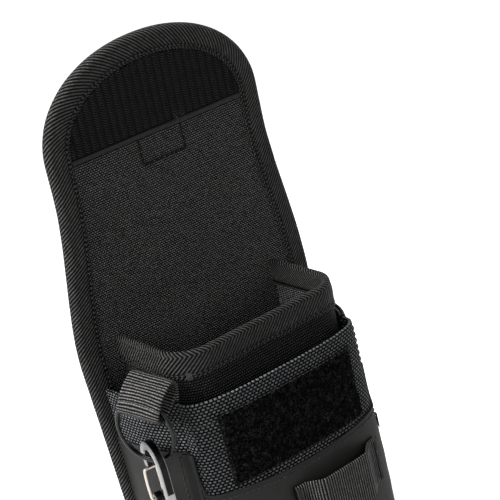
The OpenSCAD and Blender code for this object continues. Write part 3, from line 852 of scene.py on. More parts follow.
def edge_piping():
    """The coated tape over the hook panel's lower edge: a low half-round
    section carried across the lid on a slightly uneven line."""
    x = np.linspace(-50.3, 50.3, 120)
    path = place(x, ARCH_S - 1.6 + 0.25 * ripple(x, 0, 5, 30), -0.45)
    section = np.array([[-1.3, 0.3], [-1.2, -0.25], [-0.85, -0.6], [-0.3, -0.75], [0.3, -0.75],
                        [0.85, -0.6], [1.2, -0.25], [1.3, 0.3], [0.6, 0.4], [-0.6, 0.4]])
    return carried(path, np.tile([0, 0, 1.0], (120, 1)), np.tile([0, 1.0, 0], (120, 1)), section, cap="fan")


settle(make("hook_ribs", [hook_field()], HOOK, sharp=35), "lid_tip", "hook_tape", "hook_panel")
settle(make("hook_edge_piping", [edge_piping()], PIPING), "lid_tip", "binding", "hook_edge_tape")

BOX_TOP = 89.6
BOX_CORNERS = np.array([[-BOX_HALF, BOX_TOP], [-BOX_HALF, BOX_LOW], [BOX_HALF, BOX_LOW], [BOX_HALF, BOX_TOP]])
box_rows = [panel_row(line, -0.25, -1, pitch=2.9, radius=0.4) for line in legs(BOX_CORNERS, 30)]
edge_line = np.stack([np.linspace(-50, 50, 80), np.full(80, ARCH_S + 0.9)], 1)
box_rows.append(panel_row(edge_line, -0.9, -1, pitch=2.6, radius=0.26))
# Dark thread: these stitches sit in the painted shade of the sewn box.
settle(make("pull_tab_stitches_inside", box_rows, DARK_THREAD), "lid_tip", "thread")

# A small tangle of cut thread ends at the box's right corner.
rng = np.random.default_rng(8)
tails = []
for _ in range(16):
    centre = place(11.5 + rng.normal(0, 1.6), 92.6 + rng.normal(0, 1.1), -1.7 - rng.uniform(0, 0.8))[None]
    way = unit(np.array([[rng.normal(), rng.normal() * 0.4, rng.normal()]]))
    up = unit(np.cross(way, np.array([[0.3, 1.0, 0.2]])))
    tails.append(capsules(centre, way, up, 2.6, 0.14, 0.5))
settle(make("thread_tails", tails, TACK_THREAD), "lid_tip", "thread")


# ---------------------------------------------------------------- main pocket

def cubic(points, t):
    """A cubic curve with four control points."""
    p = [np.array(c, float) for c in points]
    t = t[:, None]
    return (1 - t) ** 3 * p[0] + 3 * (1 - t) ** 2 * t * p[1] + 3 * (1 - t) * t ** 2 * p[2] + t ** 3 * p[3]


class Wall:
    """A standing cloth wall: a plan curve read by the distance along it, with
    its middle at 0, moved outwards by a swell that depends on place."""

    def __init__(self, plan, outward, swell):
        self.plan = resampled(np.asarray(plan, float), 0.4)
        self.far = arc_lengths(self.plan)
        self.far -= self.far[-1] / 2
        t = directions(self.plan)
        self.normal = outward * np.stack([t[:, 1], -t[:, 0]], 1)
        self.swell = swell
        self.half = self.far[-1]

    def at(self, a, z, off=0.0):
        """Points a along, z up and off outwards."""
        a, z, off = np.broadcast_arrays(np.asarray(a, float), z, off)
        nx, ny = (np.interp(a, self.far, self.normal[:, k]) for k in (0, 1))
        long = np.sqrt(nx * nx + ny * ny)
        off = off + self.swell(a, z)
        return np.stack([np.interp(a, self.far, self.plan[:, 0]) + off * nx / long,
                         np.interp(a, self.far, self.plan[:, 1]) + off * ny / long, z], -1)

    def across(self, x):
        """Distance along, where the plan curve crosses x."""
        order = np.argsort(self.plan[:, 0])
        return np.interp(x, self.plan[order, 0], self.far[order])

    def row(self, a, z, off, pitch=3.0, **sizes):
        """A row of stitches along (a, z) points, off outwards."""
        line = resampled(np.stack(np.broadcast_arrays(np.asarray(a, float), z), 1), 0.7)
        points = self.at(line[:, 0], line[:, 1], off)
        normal = unit(self.at(line[:, 0], line[:, 1], off + 1) - points)
        return row_of(points, normal, pitch, **sizes)


# The right half of the main pocket's plan: a rounded front corner and a straight side.
half_plan = cubic([(33.5, FRONT_Y), (42.8, FRONT_Y), (SIDE_X, -21.3), (SIDE_X, -12)], np.linspace(0, 1, 40))
half_plan = np.concatenate([half_plan, [[SIDE_X, BACK_Y - 0.2]]])
wall_plan = np.concatenate([(half_plan * [-1, 1])[::-1], half_plan])
wall = Wall(wall_plan, 1, lambda a, z: 0.35 * ripple(a, z, 31, 30) * smooth((RIM_Z - 10 - z) / 20))


def leaf(low, high, thick, count, dips=(), outside=0.0):
    """Section of a cloth wall as (z, off): up the outside, over a rounded top
    and down the inside. Each dip is a stitch line pressed into both faces."""
    r = thick / 2
    z = np.linspace(low, high - r, count)
    q = np.linspace(0, np.pi / 2, 4)[1:]
    z = np.concatenate([z, high - r + r * np.sin(q)])
    off = np.concatenate([np.zeros(count), -r + r * np.cos(q)])
    press = sum(0.32 * np.exp(-((z - d) / 0.8) ** 2) for d in dips) if dips else 0 * z
    outer = outside + off - press
    inner = outside - thick - off + press * 0.5
    return np.concatenate([z, z[::-1]]), np.concatenate([outer, inner[::-1]])


def wall_piece(name, surface, a_low, a_high, low, high, thick, finish, step=1.5, dips=(), outside=0.0,
               count=70):
    """A cloth wall between two places along its surface."""
    a = np.linspace(a_low, a_high, int((a_high - a_low) / step) + 1)[:, None]
    z, off = leaf(low, high, thick, count, dips, outside)
    points = surface.at(a, z[None], off[None])
    uv = np.stack(np.broadcast_arrays(a, z[None]), -1)
    return make(name, [part(points, wrap_v=True, cap="strip", uv=uv)], finish)


for name, thick, finish, outside, slot, nodes in (
        ("main_pocket_wall", 1.2, WALL, 0.0, "ballistic", ("pocket_front_wall", "pocket_left_wall")),
        ("main_pocket_lining", 1.1, LINING, -1.25, "lining", ("pocket_right_wall",))):
    cloth = wall_piece(name, wall, -wall.half, wall.half, WALL_FOOT, WALL_TOP, thick, finish, outside=outside)
    settle(cloth, "root", slot, *nodes)

rim_section, RIM_FOLD = fold_profile(12.5, 2.4, 0.1, 1.0, 0.3, 10.7, count=12, turns=11)


def rim_tape():
    """The fold section carried round the pocket's mouth, its open edge wavy."""
    a = np.linspace(-wall.half, wall.half, 220)[:, None]
    o, d = rim_section[None, :, 0], rim_section[None, :, 1]
    loose = smooth((o - 6) / 6)
    o = o + loose * (0.2 * np.sin(a * 2 * np.pi / 3.0) + 0.4 * ripple(a, 0, 41, 36))
    d = d + 0.18 * ripple(a, o * 2, 42, 16) * np.sign(d - 1.2)
    return part(wall.at(a, RIM_Z - 1.1 - o, -d), wrap_v=True, cap="strip", origin=(0.0, -RIM_FOLD))


settle(make("rim_tape", [rim_tape()], RIM_BINDING), "root", "binding", "rim_binding")
rim_run = np.linspace(-wall.half + 2, wall.half - 2, 200)
rim_rows = [wall.row(rim_run, RIM_Z - 11.8, off, pitch=2.9) for off in (0.72, -3.15)]
settle(make("rim_stitches", rim_rows, THREAD), "root", "thread")


# ---------------------------------------------------------------- front pocket

FRONT_POWER = 2.8
front_plan = arch(np.linspace(np.pi, 0, 1201), SEAM_X, PANEL_Y - SEAM_Y, FRONT_POWER) + [0, SEAM_Y]


def front_swell(a, z):
    """The panel bellies out below the patch and is slightly slack above it."""
    middle = np.clip(1 - (a / 62) ** 2, 0, 1)
    belly = 2.4 * np.sin(np.pi * np.clip(z / 84, 0, 1)) ** 2 * middle
    slack = -0.45 * smooth((z - 108) / 16) * middle
    crease = 0.28 * ripple(a, z * 1.4, 51, 26) * smooth((118 - z) / 30) * smooth(z / 12)
    return belly + slack + crease


front = Wall(front_plan, 1, front_swell)
HEM_Z = PANEL_TOP - 11.6


def hemmed(names, nodes, surface, margin, top, hem_low, fold_z, count):
    """A ballistic wall whose top is turned in, with the turned hem inside it.
    The margins are the hem's ends."""
    cloth = wall_piece(names[0], surface, -surface.half, surface.half, WALL_FOOT, top, 1.8, BALLISTIC,
                       step=1.1, dips=(fold_z,), count=count)
    hem = wall_piece(names[1], surface, *margin, hem_low, top - 1.0, 0.7, BALLISTIC, outside=-1.9, count=12)
    for obj, node in zip((cloth, hem), nodes):
        settle(obj, "root", "ballistic", node)


hemmed(("front_pocket_panel_cloth", "front_pocket_inner_hem"), ("front_pocket_panel", "front_pocket_hem"),
       front, (front.across(-41), front.across(41)), PANEL_TOP, PANEL_TOP - 10.5, HEM_Z, 105)

hem_run = np.linspace(-front.half + 4, front.half - 4, 160)
front_rows = [front.row(hem_run, HEM_Z, -0.25, pitch=2.8, radius=0.27)]
for side in (-1, 1):
    z = np.linspace(8, PANEL_TOP - 3, 90)
    front_rows.append(front.row(np.full(90, side * (front.half - 6.5)), z, 0.02, pitch=3.4, radius=0.27))

PATCH_LOW, PATCH_HIGH = (corner[2] for corner in box_mm("loop_patch"))
PATCH_A = front.across(41.0)


def pile_patch():
    """The loop patch: a rounded rectangle whose face is raised everywhere by
    fine unevenness, and falls away at its edges."""
    a = np.linspace(-PATCH_A, PATCH_A, 250)[:, None]
    z = np.linspace(PATCH_LOW, PATCH_HIGH, 120)[None]
    fuzz = np.random.default_rng(71).uniform(0, 1, (250, 120))
    fuzz = (fuzz + np.roll(fuzz, 1, 0) + np.roll(fuzz, 1, 1)) / 3
    edge = np.minimum((PATCH_A - np.abs(a)) / 1.3, np.minimum(z - PATCH_LOW, PATCH_HIGH - z) / 1.3)
    edge = np.sqrt(1 - (1 - np.clip(edge, 0, 1)) ** 2)
    uneven = 1.0 + 0.6 * fuzz + 0.2 * ripple(a, z, 72, 9)
    a = a + 0.45 * ripple(z, a, 73, 12) + 0 * z
    return sheet_part(front.at(a, z, 0.12 + edge * uneven), front.at(a, z, 0.05 + 0 * edge))


def pile_tufts(count=1500):
    """A tangle of loose loops standing on the pile."""
    rng = np.random.default_rng(77)
    a = rng.uniform(-PATCH_A + 1, PATCH_A - 1, count)
    z = rng.uniform(PATCH_LOW + 1, PATCH_HIGH - 1, count)
    base = front.at(a, z, 1.25 + rng.uniform(-0.2, 0.25, count))
    up = unit(front.at(a, z, 2.0) - front.at(a, z, 1.0))
    way = unit(np.cross(up, rng.normal(size=(count, 3))))
    return capsules(base, way, up, 1.7, 0.11, 0.3, 0.0, sides=4)


settle(make("loop_patch_pile", [pile_patch()], LOOP, sharp=180), "root", "loop_pile", "loop_patch")
settle(make("loop_patch_tufts", [pile_tufts()], LOOP, sharp=180), "root", "loop_pile")
patch_corners = np.array([[-PATCH_A, PATCH_LOW], [PATCH_A, PATCH_LOW], [PATCH_A, PATCH_HIGH],
                          [-PATCH_A, PATCH_HIGH], [-PATCH_A, PATCH_LOW]])
patch_middle = np.array([0, (PATCH_LOW + PATCH_HIGH) / 2])
for line in legs(patch_corners * 0.97 + patch_middle * 0.03, 40):
    front_rows.append(front.row(line[:, 0], line[:, 1], 1.05, pitch=2.6, radius=0.24))


# ---------------------------------------------------------------- sleeves and coated bands

def sleeve_plan(count):
    """Plan of the right sleeve: a cubic from the corner seam to the back panel."""
    return cubic([(SEAM_X, SEAM_Y + 0.3), (SEAM_X + 3.5, SEAM_Y + 6), (SLEEVE_X, SEAM_Y + 17),
                  (SLEEVE_X, SLEEVE_END)], np.linspace(0, 1, count))


def sleeve_wall(side, seed):
    """A side sleeve, swelling at mid height and slack at its mouth."""
    def swell(a, z):
        middle = np.clip(1 - (a / 27) ** 2, 0, 1)
        belly = 1.6 * np.sin(np.pi * np.clip(z / 118, 0, 1)) ** 2 * middle
        return belly + 0.35 * ripple(a, z, seed, 24) * middle * smooth(z / 12)
    return Wall(sleeve_plan(60) * [side, 1], side, swell)


def front_top(a):
    """The front band's upper edge: nearly level, then sweeping up to the side
    band next to each corner."""
    rise = smooth((np.abs(a) - front.half + 7.0) / 7.0) ** 2
    return BAND_Z - 0.5 + 3.0 * smooth(np.abs(a) / 56) + (SIDE_BAND_Z - BAND_Z - 3) * rise


def side_top(a):
    """The side bands' upper edge is level."""
    return SIDE_BAND_Z + 0 * a


def coated_band(name, node, surface, top):
    """A coated band from the foot up to a top edge that varies along it. Its
    section is flat with a top rounded by a quarter circle."""
    low, high, rounding = -surface.half, surface.half, 0.45
    a = np.linspace(low, high, int((high - low) / 1.0) + 1)[:, None]
    q = np.linspace(0, np.pi / 2, 4)[1:]
    share = np.concatenate([np.linspace(0, 1, 66), [1, 1, 1]])
    lift = np.concatenate([np.zeros(66), rounding * np.sin(q)])
    off = np.concatenate([np.zeros(66), -rounding + rounding * np.cos(q)])
    z = WALL_FOOT + share[None] * (top(a) - rounding - WALL_FOOT) + lift[None]
    uv = np.stack(np.broadcast_arrays(a, z), -1)
    cloth = sheet_part(surface.at(a, z, 0.95 + off[None]), surface.at(a, z, 0.05 - off[None]), uv)
    obj = settle(make(name, [cloth], COATED), "root", "coated", node)


def band_piping(name, surface, a, top):
    """Round piping along a coated band's upper edge."""
    settle(make(name, [tube(surface.at(a, top(a) + 0.2, 0.75), 0.6, 8)], PIPING), "root", "coated")


def corner_strip(side, sleeve, seam, inward):
    """A folded strip over a corner seam: its section runs off the front panel
    and onto the sleeve, smoothly mixed between, and is carried up the corner."""
    z = np.linspace(WALL_FOOT, SIDE_BAND_Z - 0.6, 70)[:, None]
    share = np.linspace(0, 1, 9)
    on_front = side * (front.half - 3.4 * (1 - np.minimum(share * 2, 1)))[None]
    on_side = (seam + inward * 3.6 * np.maximum(share * 2 - 1, 0))[None]
    mix = smooth((share - 0.3) / 0.4)[None, :, None]
    outer, inner = (front.at(on_front, z, off) * (1 - mix) + sleeve.at(on_side, z, off) * mix
                    for off in (1.45, 0.7))
    return sheet_part(outer, inner)


def corner_tacks(side):
    """Bar tacks of one side: three half way up the band's corner, and one at
    the end of the pocket's rim tape."""
    spot, near, far = (front.at(side * (front.half - by), 66.0, 1.25) for by in (5.5, 2.5, 9))
    way = unit(near - far)
    found = [tack(spot + [0, 0, k * 2.6 - 2.6], way, [0, 0, 1.0], 5.5, 2.2, 4, 0.36) for k in range(3)]
    edge, rim_z = wall.across(side * 44.5), RIM_Z - 12.4
    away = unit(wall.at(edge + 1, rim_z) - wall.at(edge - 1, rim_z))
    return found + [tack(wall.at(edge, rim_z, 0.95), [0, 0, 1.0], away * -1, 5.0, 3.0, 6, 0.34)]


coated_band("front_coated_band", "front_band", front, front_top)
a = np.linspace(-front.half, front.half, 200)
band_piping("front_band_piping", front, a, front_top)
front_rows.append(front.row(a, front_top(a) - 2.2, 1.0, pitch=3.0, radius=0.26))

seam_stitches, tacks = [], []
for side, word in ((1, "right"), (-1, "left")):
    sleeve = sleeve_wall(side, 61 + side)
    low_a, high_a = -sleeve.half, sleeve.half
    hemmed((word + "_sleeve_cloth", word + "_sleeve_inner_hem"), (word + "_sleeve", word + "_sleeve_hem"),
           sleeve, (low_a + 3, high_a - 3), SLEEVE_TOP, SLEEVE_TOP - 10, SLEEVE_TOP - 11, 100)
    coated_band(word + "_coated_band", word + "_band", sleeve, side_top)
    a = np.linspace(low_a + 0.5, high_a - 0.5, 60)
    band_piping(word + "_band_piping", sleeve, a, side_top)
    seam = low_a if sleeve.at(low_a, 50.0)[1] < sleeve.at(high_a, 50.0)[1] else high_a
    inward = -np.sign(seam)
    band_run = np.linspace(WALL_FOOT + 2, SIDE_BAND_Z - 2, 80)
    mouth_run = np.linspace(SIDE_BAND_Z + 2, SLEEVE_TOP - 2, 30)
    for along, z, off, pitch, radius in (
            (a, SIDE_BAND_Z - 2.4, 1.0, 3.0, 0.26),
            (a, SLEEVE_TOP - 11, -0.25, 2.8, 0.27),
            (seam + inward * 6.0, band_run, 1.0, 3.3, 0.3),
            (seam + inward * 5.0, mouth_run, 0.05, 3.3, 0.28)):
        seam_stitches.append(sleeve.row(along, z, off, pitch=pitch, radius=radius))
    settle(make(word + "_corner_strip", [corner_strip(side, sleeve, seam, inward)], STRIP), "root", "coated")
    tacks += corner_tacks(side)

settle(make("corner_seam_stitches", seam_stitches, THREAD), "root", "thread")
settle(make("front_pocket_stitches", front_rows, THREAD), "root", "thread")
settle(make("bar_tacks", tacks, TACK_THREAD), "root", "thread")


# ---------------------------------------------------------------- base

BASE_SIDE, BASE_BACK = 67.6, 34.9
# Steps of the base's edge as [outwards, up]: under it, round its rim and back over its top.
BASE_EDGE = np.array([[-14.0, 0.35], [-9.0, 0.1], [-3.0, 0.0], [-1.2, 0.0], [-0.35, 0.35], [0.0, 1.1],
                      [0.0, 2.0], [-0.35, 2.7], [-1.0, 3.0], [-6.0, 3.0], [-14.0, 3.0]])
BASE_MIDDLE, BASE_REACH = np.array([0.0, -1.0]), 56


def base_outline():
    """Plan of the base: the front curve, the sleeves and the back edge."""
    right = sleeve_plan(30)
    back = np.array([[BASE_SIDE, SLEEVE_END], [BASE_SIDE, BASE_BACK], [-BASE_SIDE, BASE_BACK],
                     [-BASE_SIDE, SLEEVE_END]])
    plan = np.concatenate([front_plan[::20], right, back, (right * [-1, 1])[::-1], front_plan[:1]])
    return resampled(plan, 1.6)[:-1]


def base_sheet():
    """The base as rings of its plan, each scaled about the middle by its step
    of the edge and closed towards the middle, below and above."""
    plan = base_outline()
    flat = BASE_MIDDLE + (plan - BASE_MIDDLE)[:, None] * (1 + BASE_EDGE[None, :, :1] / BASE_REACH)
    ring = np.concatenate([flat, np.broadcast_to(BASE_EDGE[None, :, 1:], flat.shape[:2] + (1,))], 2)
    below, above = np.array([*BASE_MIDDLE, 0.5]), np.array([*BASE_MIDDLE, 3.0])
    first, last = ring[:, :1], ring[:, -1:]
    body = np.concatenate([below * 0.999 + first * 0.001, first * 0.5 + below * 0.5, ring,
                           last * 0.5 + above * 0.5, above * 0.999 + last * 0.001], 1)
    body = np.swapaxes(body, 0, 1)
    return part(body, wrap_v=True, cap="fan", uv=body[..., :2].copy())


settle(make("base_sheet", [base_sheet()], COATED), "root", "coated", "base_panel")
board = frame["nodes"]["base_board"]
board.data.materials.clear()
board.data.materials.append(BOARD)


# ---------------------------------------------------------------- straps

STRAP_T = 1.6
UP = np.array([0, 0, 1.0])
ACROSS = np.array([1.0, 0, 0])


def strap(path, side, width, count=15):
    """Webbing carried along a path; side is the way across it."""
    side = np.tile(side, (len(path), 1))
    return carried(path, side, unit(np.cross(directions(path), side)), strap_profile(width, STRAP_T, count))


# The tape strap's back is this far off the front panel at its ends, just
# clear of the coated band's face.
BAND_FACE = 1.05
STRAP_LEFT, STRAP_RIGHT = -13.0, 43.0
(_, _, strap_low), (_, _, strap_high) = box_mm("tape_strap")
strap_mid, strap_wide = (strap_low + strap_high) / 2, strap_high - strap_low


def strap_offset(x):
    """How far the tape strap's back stands off the band: flat at both ends,
    with a smooth rise to the gap between."""
    share = (x - STRAP_LEFT) / (STRAP_RIGHT - STRAP_LEFT) * 20
    return 6.0 * smooth((share - 2) / 3.4) * smooth((18 - share) / 3.4)


x = np.linspace(STRAP_LEFT, STRAP_RIGHT, 90)
strap_path = front.at(front.across(x), strap_mid + 0 * x, BAND_FACE + STRAP_T / 2 + strap_offset(x))
tape_strap = strap(strap_path, UP, strap_wide)
settle(make("tape_strap_webbing", [tape_strap], WEBBING), "root", "webbing", "tape_strap")
tack_rows = []
for x_end in (STRAP_LEFT + 1.6, STRAP_RIGHT - 1.6):
    a_end = front.across(x_end)
    way = unit(front.at(a_end + 1, strap_mid, 0) - front.at(a_end - 1, strap_mid, 0))
    tack_rows.append(tack(front.at(a_end, strap_mid, BAND_FACE + STRAP_T + 0.25), way, UP, 3.0,
                          strap_wide - 4, 26, 0.42, 0.1))
settle(make("tape_strap_bar_tacks", tack_rows, TACK_THREAD), "root", "thread", "tape_strap_tacks")

(_, near_y, BELT_LOW), (_, far_y, BELT_HIGH) = box_mm("belt_loop")
near_y, far_y = near_y + 0.9, far_y - 0.8
# The belt loop's lower half in (y, z up from its foot); its upper half mirrors it.
belt_half = np.array([[near_y, 0], [near_y, 5.0], [near_y + 0.5, 6.6], [far_y - 0.6, 9.4], [far_y, 11.5]])
belt_line = np.concatenate([belt_half + [0, BELT_LOW], [[far_y, BELT_LOW + 40]],
                            (belt_half * [1, -1] + [0, BELT_HIGH])[::-1]])
belt_line = softened(resampled(belt_line, 0.8), 6)
belt_path = np.stack([0 * belt_line[:, 0], belt_line[:, 0], belt_line[:, 1]], 1)
belt_loop = strap(belt_path, ACROSS, 50.0, 21)
settle(make("belt_loop_webbing", [belt_loop], WEBBING), "root", "webbing", "belt_loop")
x = np.linspace(-23.5, 23.5, 60)
belt_rows = [row_of(np.stack([x, 0 * x + near_y + 0.85, 0 * x + z], 1), np.tile([0, 1.0, 0], (60, 1)), 2.8,
                    radius=0.3)
             for z in (BELT_LOW + 1.6, BELT_LOW + 4.4, BELT_HIGH - 1.6, BELT_HIGH - 4.4)]
settle(make("belt_loop_stitches", belt_rows, THREAD), "root", "thread")

# The pull tab stands on the outside of the lid, its free end lifted a little.
TAB_BACK = SANDWICH + 1.05
s = np.linspace(77.0, 107.0, 50)
tab_path = place(0, s, TAB_BACK + STRAP_T / 2 + 1.1 * smooth((s - 90) / 17))
settle(make("pull_tab_webbing", [strap(tab_path, ACROSS, 25.0)], WEBBING), "lid_tip", "webbing", "pull_tab")
tab_rows = []
for line in legs(BOX_CORNERS * [0.86, 1], 30):
    line = line + [0, 1.0]
    points = place(line[:, 0], line[:, 1], TAB_BACK + STRAP_T + 0.05)
    tab_rows.append(row_of(points, panel_normal(line, 1), 2.8, radius=0.3))
settle(make("pull_tab_stitches", tab_rows, THREAD), "lid_tip", "thread")


# ---------------------------------------------------------------- webbing loop

WEB_TURN, WEB_TILT = np.radians(22.0), np.radians(12.0)
WEB_ROOT = np.array([-SIDE_X - 1.2 - 12 * np.sin(WEB_TURN), -15.0, RIM_Z - 11])
WEB_NEAR, WEB_FAR = np.array([-5.8, -1.0]), np.array([-13.5, -8.5])
WEB_SPAN = 40


def turned(points, angle):
    """Points turned about Z."""
    c, s = np.cos(angle), np.sin(angle)
    return np.stack([points[..., 0] * c - points[..., 1] * s, points[..., 0] * s + points[..., 1] * c,
                     points[..., 2]], -1)


def web_point(across, out, up):
    """A point of the webbing loop: across its width, out from the pouch
    (negative) and up, tilted about its width and then turned about Z."""
    out, across, up = np.broadcast_arrays(np.asarray(out, float), across, up)
    y = across * np.cos(WEB_TILT) - up * np.sin(WEB_TILT)
    z = across * np.sin(WEB_TILT) + up * np.cos(WEB_TILT)
    return WEB_ROOT + turned(np.stack([out, y, z], -1), WEB_TURN)


def loop_line(y):
    """Mid-line of the webbing loop at a place y across it: two slack plies
    joined by a fold round the ring's wire, wider mid-way where the wire
    stands higher in it, and a wide fold at the pouch. Both are half circles."""
    small, wide = 5.0 - 1.0 * (y / 12) ** 2, 4.6
    way = unit(WEB_FAR - WEB_NEAR)
    centre = WEB_FAR + (5.0 - small) * way
    square = np.array([way[1], -way[0]])
    q = np.linspace(np.pi / 2, -np.pi / 2, WEB_SPAN)[:, None]
    tip = centre + small * (np.cos(q) * way + np.sin(q) * square)
    root = WEB_NEAR + wide * (-np.cos(q) * way - np.sin(q) * square)
    ply = np.linspace(0, 1, WEB_SPAN)[1:-1, None]
    belly = 1.2 * np.sin(np.pi * ply) * square
    return np.concatenate([tip, tip[-1] + (root[0] - tip[-1]) * ply - belly * 0.3, root,
                           root[-1] + (tip[0] - root[-1]) * ply + belly])


def web_loop():
    """The loop's section at each place across the webbing, thickened along
    its own normal, with a little unevenness."""
    across, through = strap_profile(24.0, STRAP_T, 17).T
    lines = np.stack([loop_line(y) for y in across], 1)
    t = unit(np.roll(lines, -1, 0) - np.roll(lines, 1, 0))
    normal = np.stack([t[..., 1], -t[..., 0]], -1)
    run = arc_lengths(loop_line(7.0))[:, None]
    off = through[None] + 0.22 * ripple(run, across[None], 81, 18)
    moved = lines + normal * off[..., None]
    return part(web_point(across[None], moved[..., 0], moved[..., 1]), wrap_u=True, wrap_v=True)


def web_tail():
    """The flat end of the webbing, down the pouch's side."""
    across, through = strap_profile(24.0, STRAP_T, 17).T
    up = np.linspace(1.6, -9.0, 14)[:, None]
    return part(web_point(across[None], -0.8 + through[None], up), wrap_v=True, cap="strip")


settle(make("ring_webbing_loop", [web_loop(), web_tail()], WEBBING), "root", "webbing", "ring_webbing")
y = np.linspace(-10.5, 10.5, 40)
web_out = np.tile(turned(np.array([-1.0, 0, 0]), WEB_TURN), (40, 1))
web_rows = [row_of(web_point(y, -1.75, up), web_out, 2.4, radius=0.3) for up in (-6.9, -8.1)]
settle(make("ring_webbing_stitches", web_rows, THREAD), "root", "thread")


# ---------------------------------------------------------------- ring, carabiner and gate

RING_R = 16.15
RING_MID = sum(box_mm("split_ring")) / 2
RING_AXIS = turned(ACROSS, WEB_TURN)


def split_ring():
    """Flat wire carried round nearly two turns, which pass from one side to
    the other over about a radian. Its section is a superellipse."""
    theta = np.linspace(-0.35, 4 * np.pi - 0.55, 300)
    shift = -0.6 + 1.2 * smooth((theta - (2 * np.pi - 0.55)) / 1.0)
    radial = np.cos(theta)[:, None] * turned(np.array([0, 1.0, 0]), WEB_TURN) + np.sin(theta)[:, None] * UP
    path = RING_MID + RING_R * radial + shift[:, None] * RING_AXIS
    q = np.arange(14) * 2 * np.pi / 14
    section = np.stack([0.85 * np.sign(np.cos(q)) * np.abs(np.cos(q)) ** 0.75,
                        0.58 * np.sign(np.sin(q)) * np.abs(np.sin(q)) ** 0.6], 1)
    return carried(path, radial, np.tile(RING_AXIS, (300, 1)), section, cap="fan")


settle(make("split_ring_coil", [split_ring()], RING), "ring", "ring_steel", "split_ring")

CAR_TURN = np.radians(-10.0)
# The carabiner's top bow centre, its two bows, how far apart they are, and its bar.
BOW = RING_MID - [0, 0, RING_R] - [0, 0, 2.3]
TOP_R, FOOT_R, FOOT_DROP = 10.2, 8.2, 27.0
HALF_W, HALF_T, BEVEL = 2.3, 2.2, 0.75
GATE_U, GATE_FOOT, GATE_TOP, NOSE = 10.2, -23.0, -6.0, -4.3


def car_point(through, u, v):
    """A point of the carabiner: through its thickness, u from spine to gate,
    v up from the top bow's centre."""
    through, u, v = np.broadcast_arrays(np.asarray(through, float), u, v)
    return BOW + turned(np.stack([through, u, v], -1), CAR_TURN)


def carabiner_bar():
    """The open frame: from the nose round the top bow, down the spine, round
    the foot bow and up to the gate's pin. A bevelled section follows it,
    tapered to the nose. Its flats and a mark on the spine are bare metal."""
    top = np.linspace(0, np.pi, 60)
    foot = np.linspace(np.pi, np.radians(330), 60)
    line = np.concatenate([[[GATE_U, NOSE]], TOP_R * np.stack([np.cos(top), np.sin(top)], 1),
                           [FOOT_R - TOP_R, -FOOT_DROP] + FOOT_R * np.stack([np.cos(foot), np.sin(foot)], 1),
                           [[GATE_U, GATE_FOOT]]])
    line = softened(resampled(line, 0.5), 10)
    t = directions(line)
    normal = np.stack([t[:, 1], -t[:, 0]], 1)
    half = np.array([[HALF_W, BEVEL - HALF_T], [HALF_W, 0], [HALF_W, HALF_T - BEVEL],
                     [HALF_W - 0.2, HALF_T - 0.35], [HALF_W - BEVEL, HALF_T], [0, HALF_T],
                     [BEVEL - HALF_W, HALF_T], [0.2 - HALF_W, HALF_T - 0.35]])
    wide, thick = np.concatenate([half, -half]).T
    taper = (1 - 0.22 * smooth(1 - arc_lengths(line) / 9))[:, None]
    u = line[:, :1] + normal[:, :1] * wide[None] * taper
    v = line[:, 1:] + normal[:, 1:] * wide[None] * taper
    flats = np.tile((np.abs(thick) > HALF_T - 0.4) * 0.85, (len(line), 1))
    mark = ((line[:, 1] < -12.5) & (line[:, 1] > -17.5) & (line[:, 0] < 0))[:, None]
    bare = np.maximum(flats, (mark & (wide > HALF_W - 0.3)[None]) * 0.9)
    return part(car_point(thick[None] * taper, u, v), wrap_v=True, cap="fan"), [*bare.ravel(), 0, 0]


def gate_boss():
    """The round boss at the gate's pin: a section in (radius, through) turned
    about the pin, its end faces bare."""
    q = np.arange(28) * 2 * np.pi / 28
    section = np.array([[0.95, -2.2], [2.4, -2.2], [2.95, -1.75], [3.1, -1.2], [3.1, 1.2], [2.95, 1.75],
                        [2.4, 2.2], [0.95, 2.2]])
    r, through = section[:, :1], section[:, 1:]
    points = car_point(through, GATE_U + r * np.cos(q)[None], GATE_FOOT + r * np.sin(q)[None])
    return part(points, wrap_u=True, wrap_v=True), np.repeat((np.abs(section[:, 1]) > 2.0) * 0.85, 28)


(bar, bar_bare), (boss, boss_bare) = carabiner_bar(), gate_boss()
bare = np.concatenate([bar_bare, boss_bare])
settle(make("carabiner_body", [bar, boss], ALLOY, sharp=28, fields={"bare": bare}),
       "carabiner", "black_alloy", "carabiner_frame")

ROD, ROD_BEND = 3.3, 1.1


def rod_corner(end, way):
    """A quarter circle of the wire gate's left rod, at its foot or its top."""
    return [[-(ROD - ROD_BEND + ROD_BEND * np.sin(k)), end + way * ROD_BEND * (1 - np.cos(k))]
            for k in np.linspace(0, np.pi / 2, 7)[1:-1]]


def wire_gate():
    """Wire bent from the pin out to the left rod, slightly bowed, over the top
    and down the right rod, which mirrors the left."""
    rise = GATE_TOP - GATE_FOOT - 2 * ROD_BEND
    bowed = [[-ROD - 0.25 * np.sin(np.pi * k), GATE_FOOT + ROD_BEND + k * rise]
             for k in np.linspace(0.1, 0.9, 9)]
    left = np.array([[-1.2, GATE_FOOT], [-ROD + ROD_BEND, GATE_FOOT], *rod_corner(GATE_FOOT, 1),
                     [-ROD, GATE_FOOT + ROD_BEND], *bowed, [-ROD, GATE_TOP - ROD_BEND],
                     *rod_corner(GATE_TOP, -1)[::-1], [-ROD + ROD_BEND, GATE_TOP]])
    line = resampled(np.concatenate([left, (left * [-1, 1])[::-1]]), 0.45)
    path = car_point(line[:, 0], GATE_U, line[:, 1])
    up = np.tile(turned(np.array([0, 1.0, 0]), CAR_TURN), (len(path), 1))
    return carried(path, unit(np.cross(directions(path), up)), up, round_profile(0.8, 12), cap="fan")


settle(make("carabiner_wire_gate", [wire_gate()], WIRE), "gate", "gate_steel", "carabiner_gate")


# ---------------------------------------------------------------- floor, light and camera

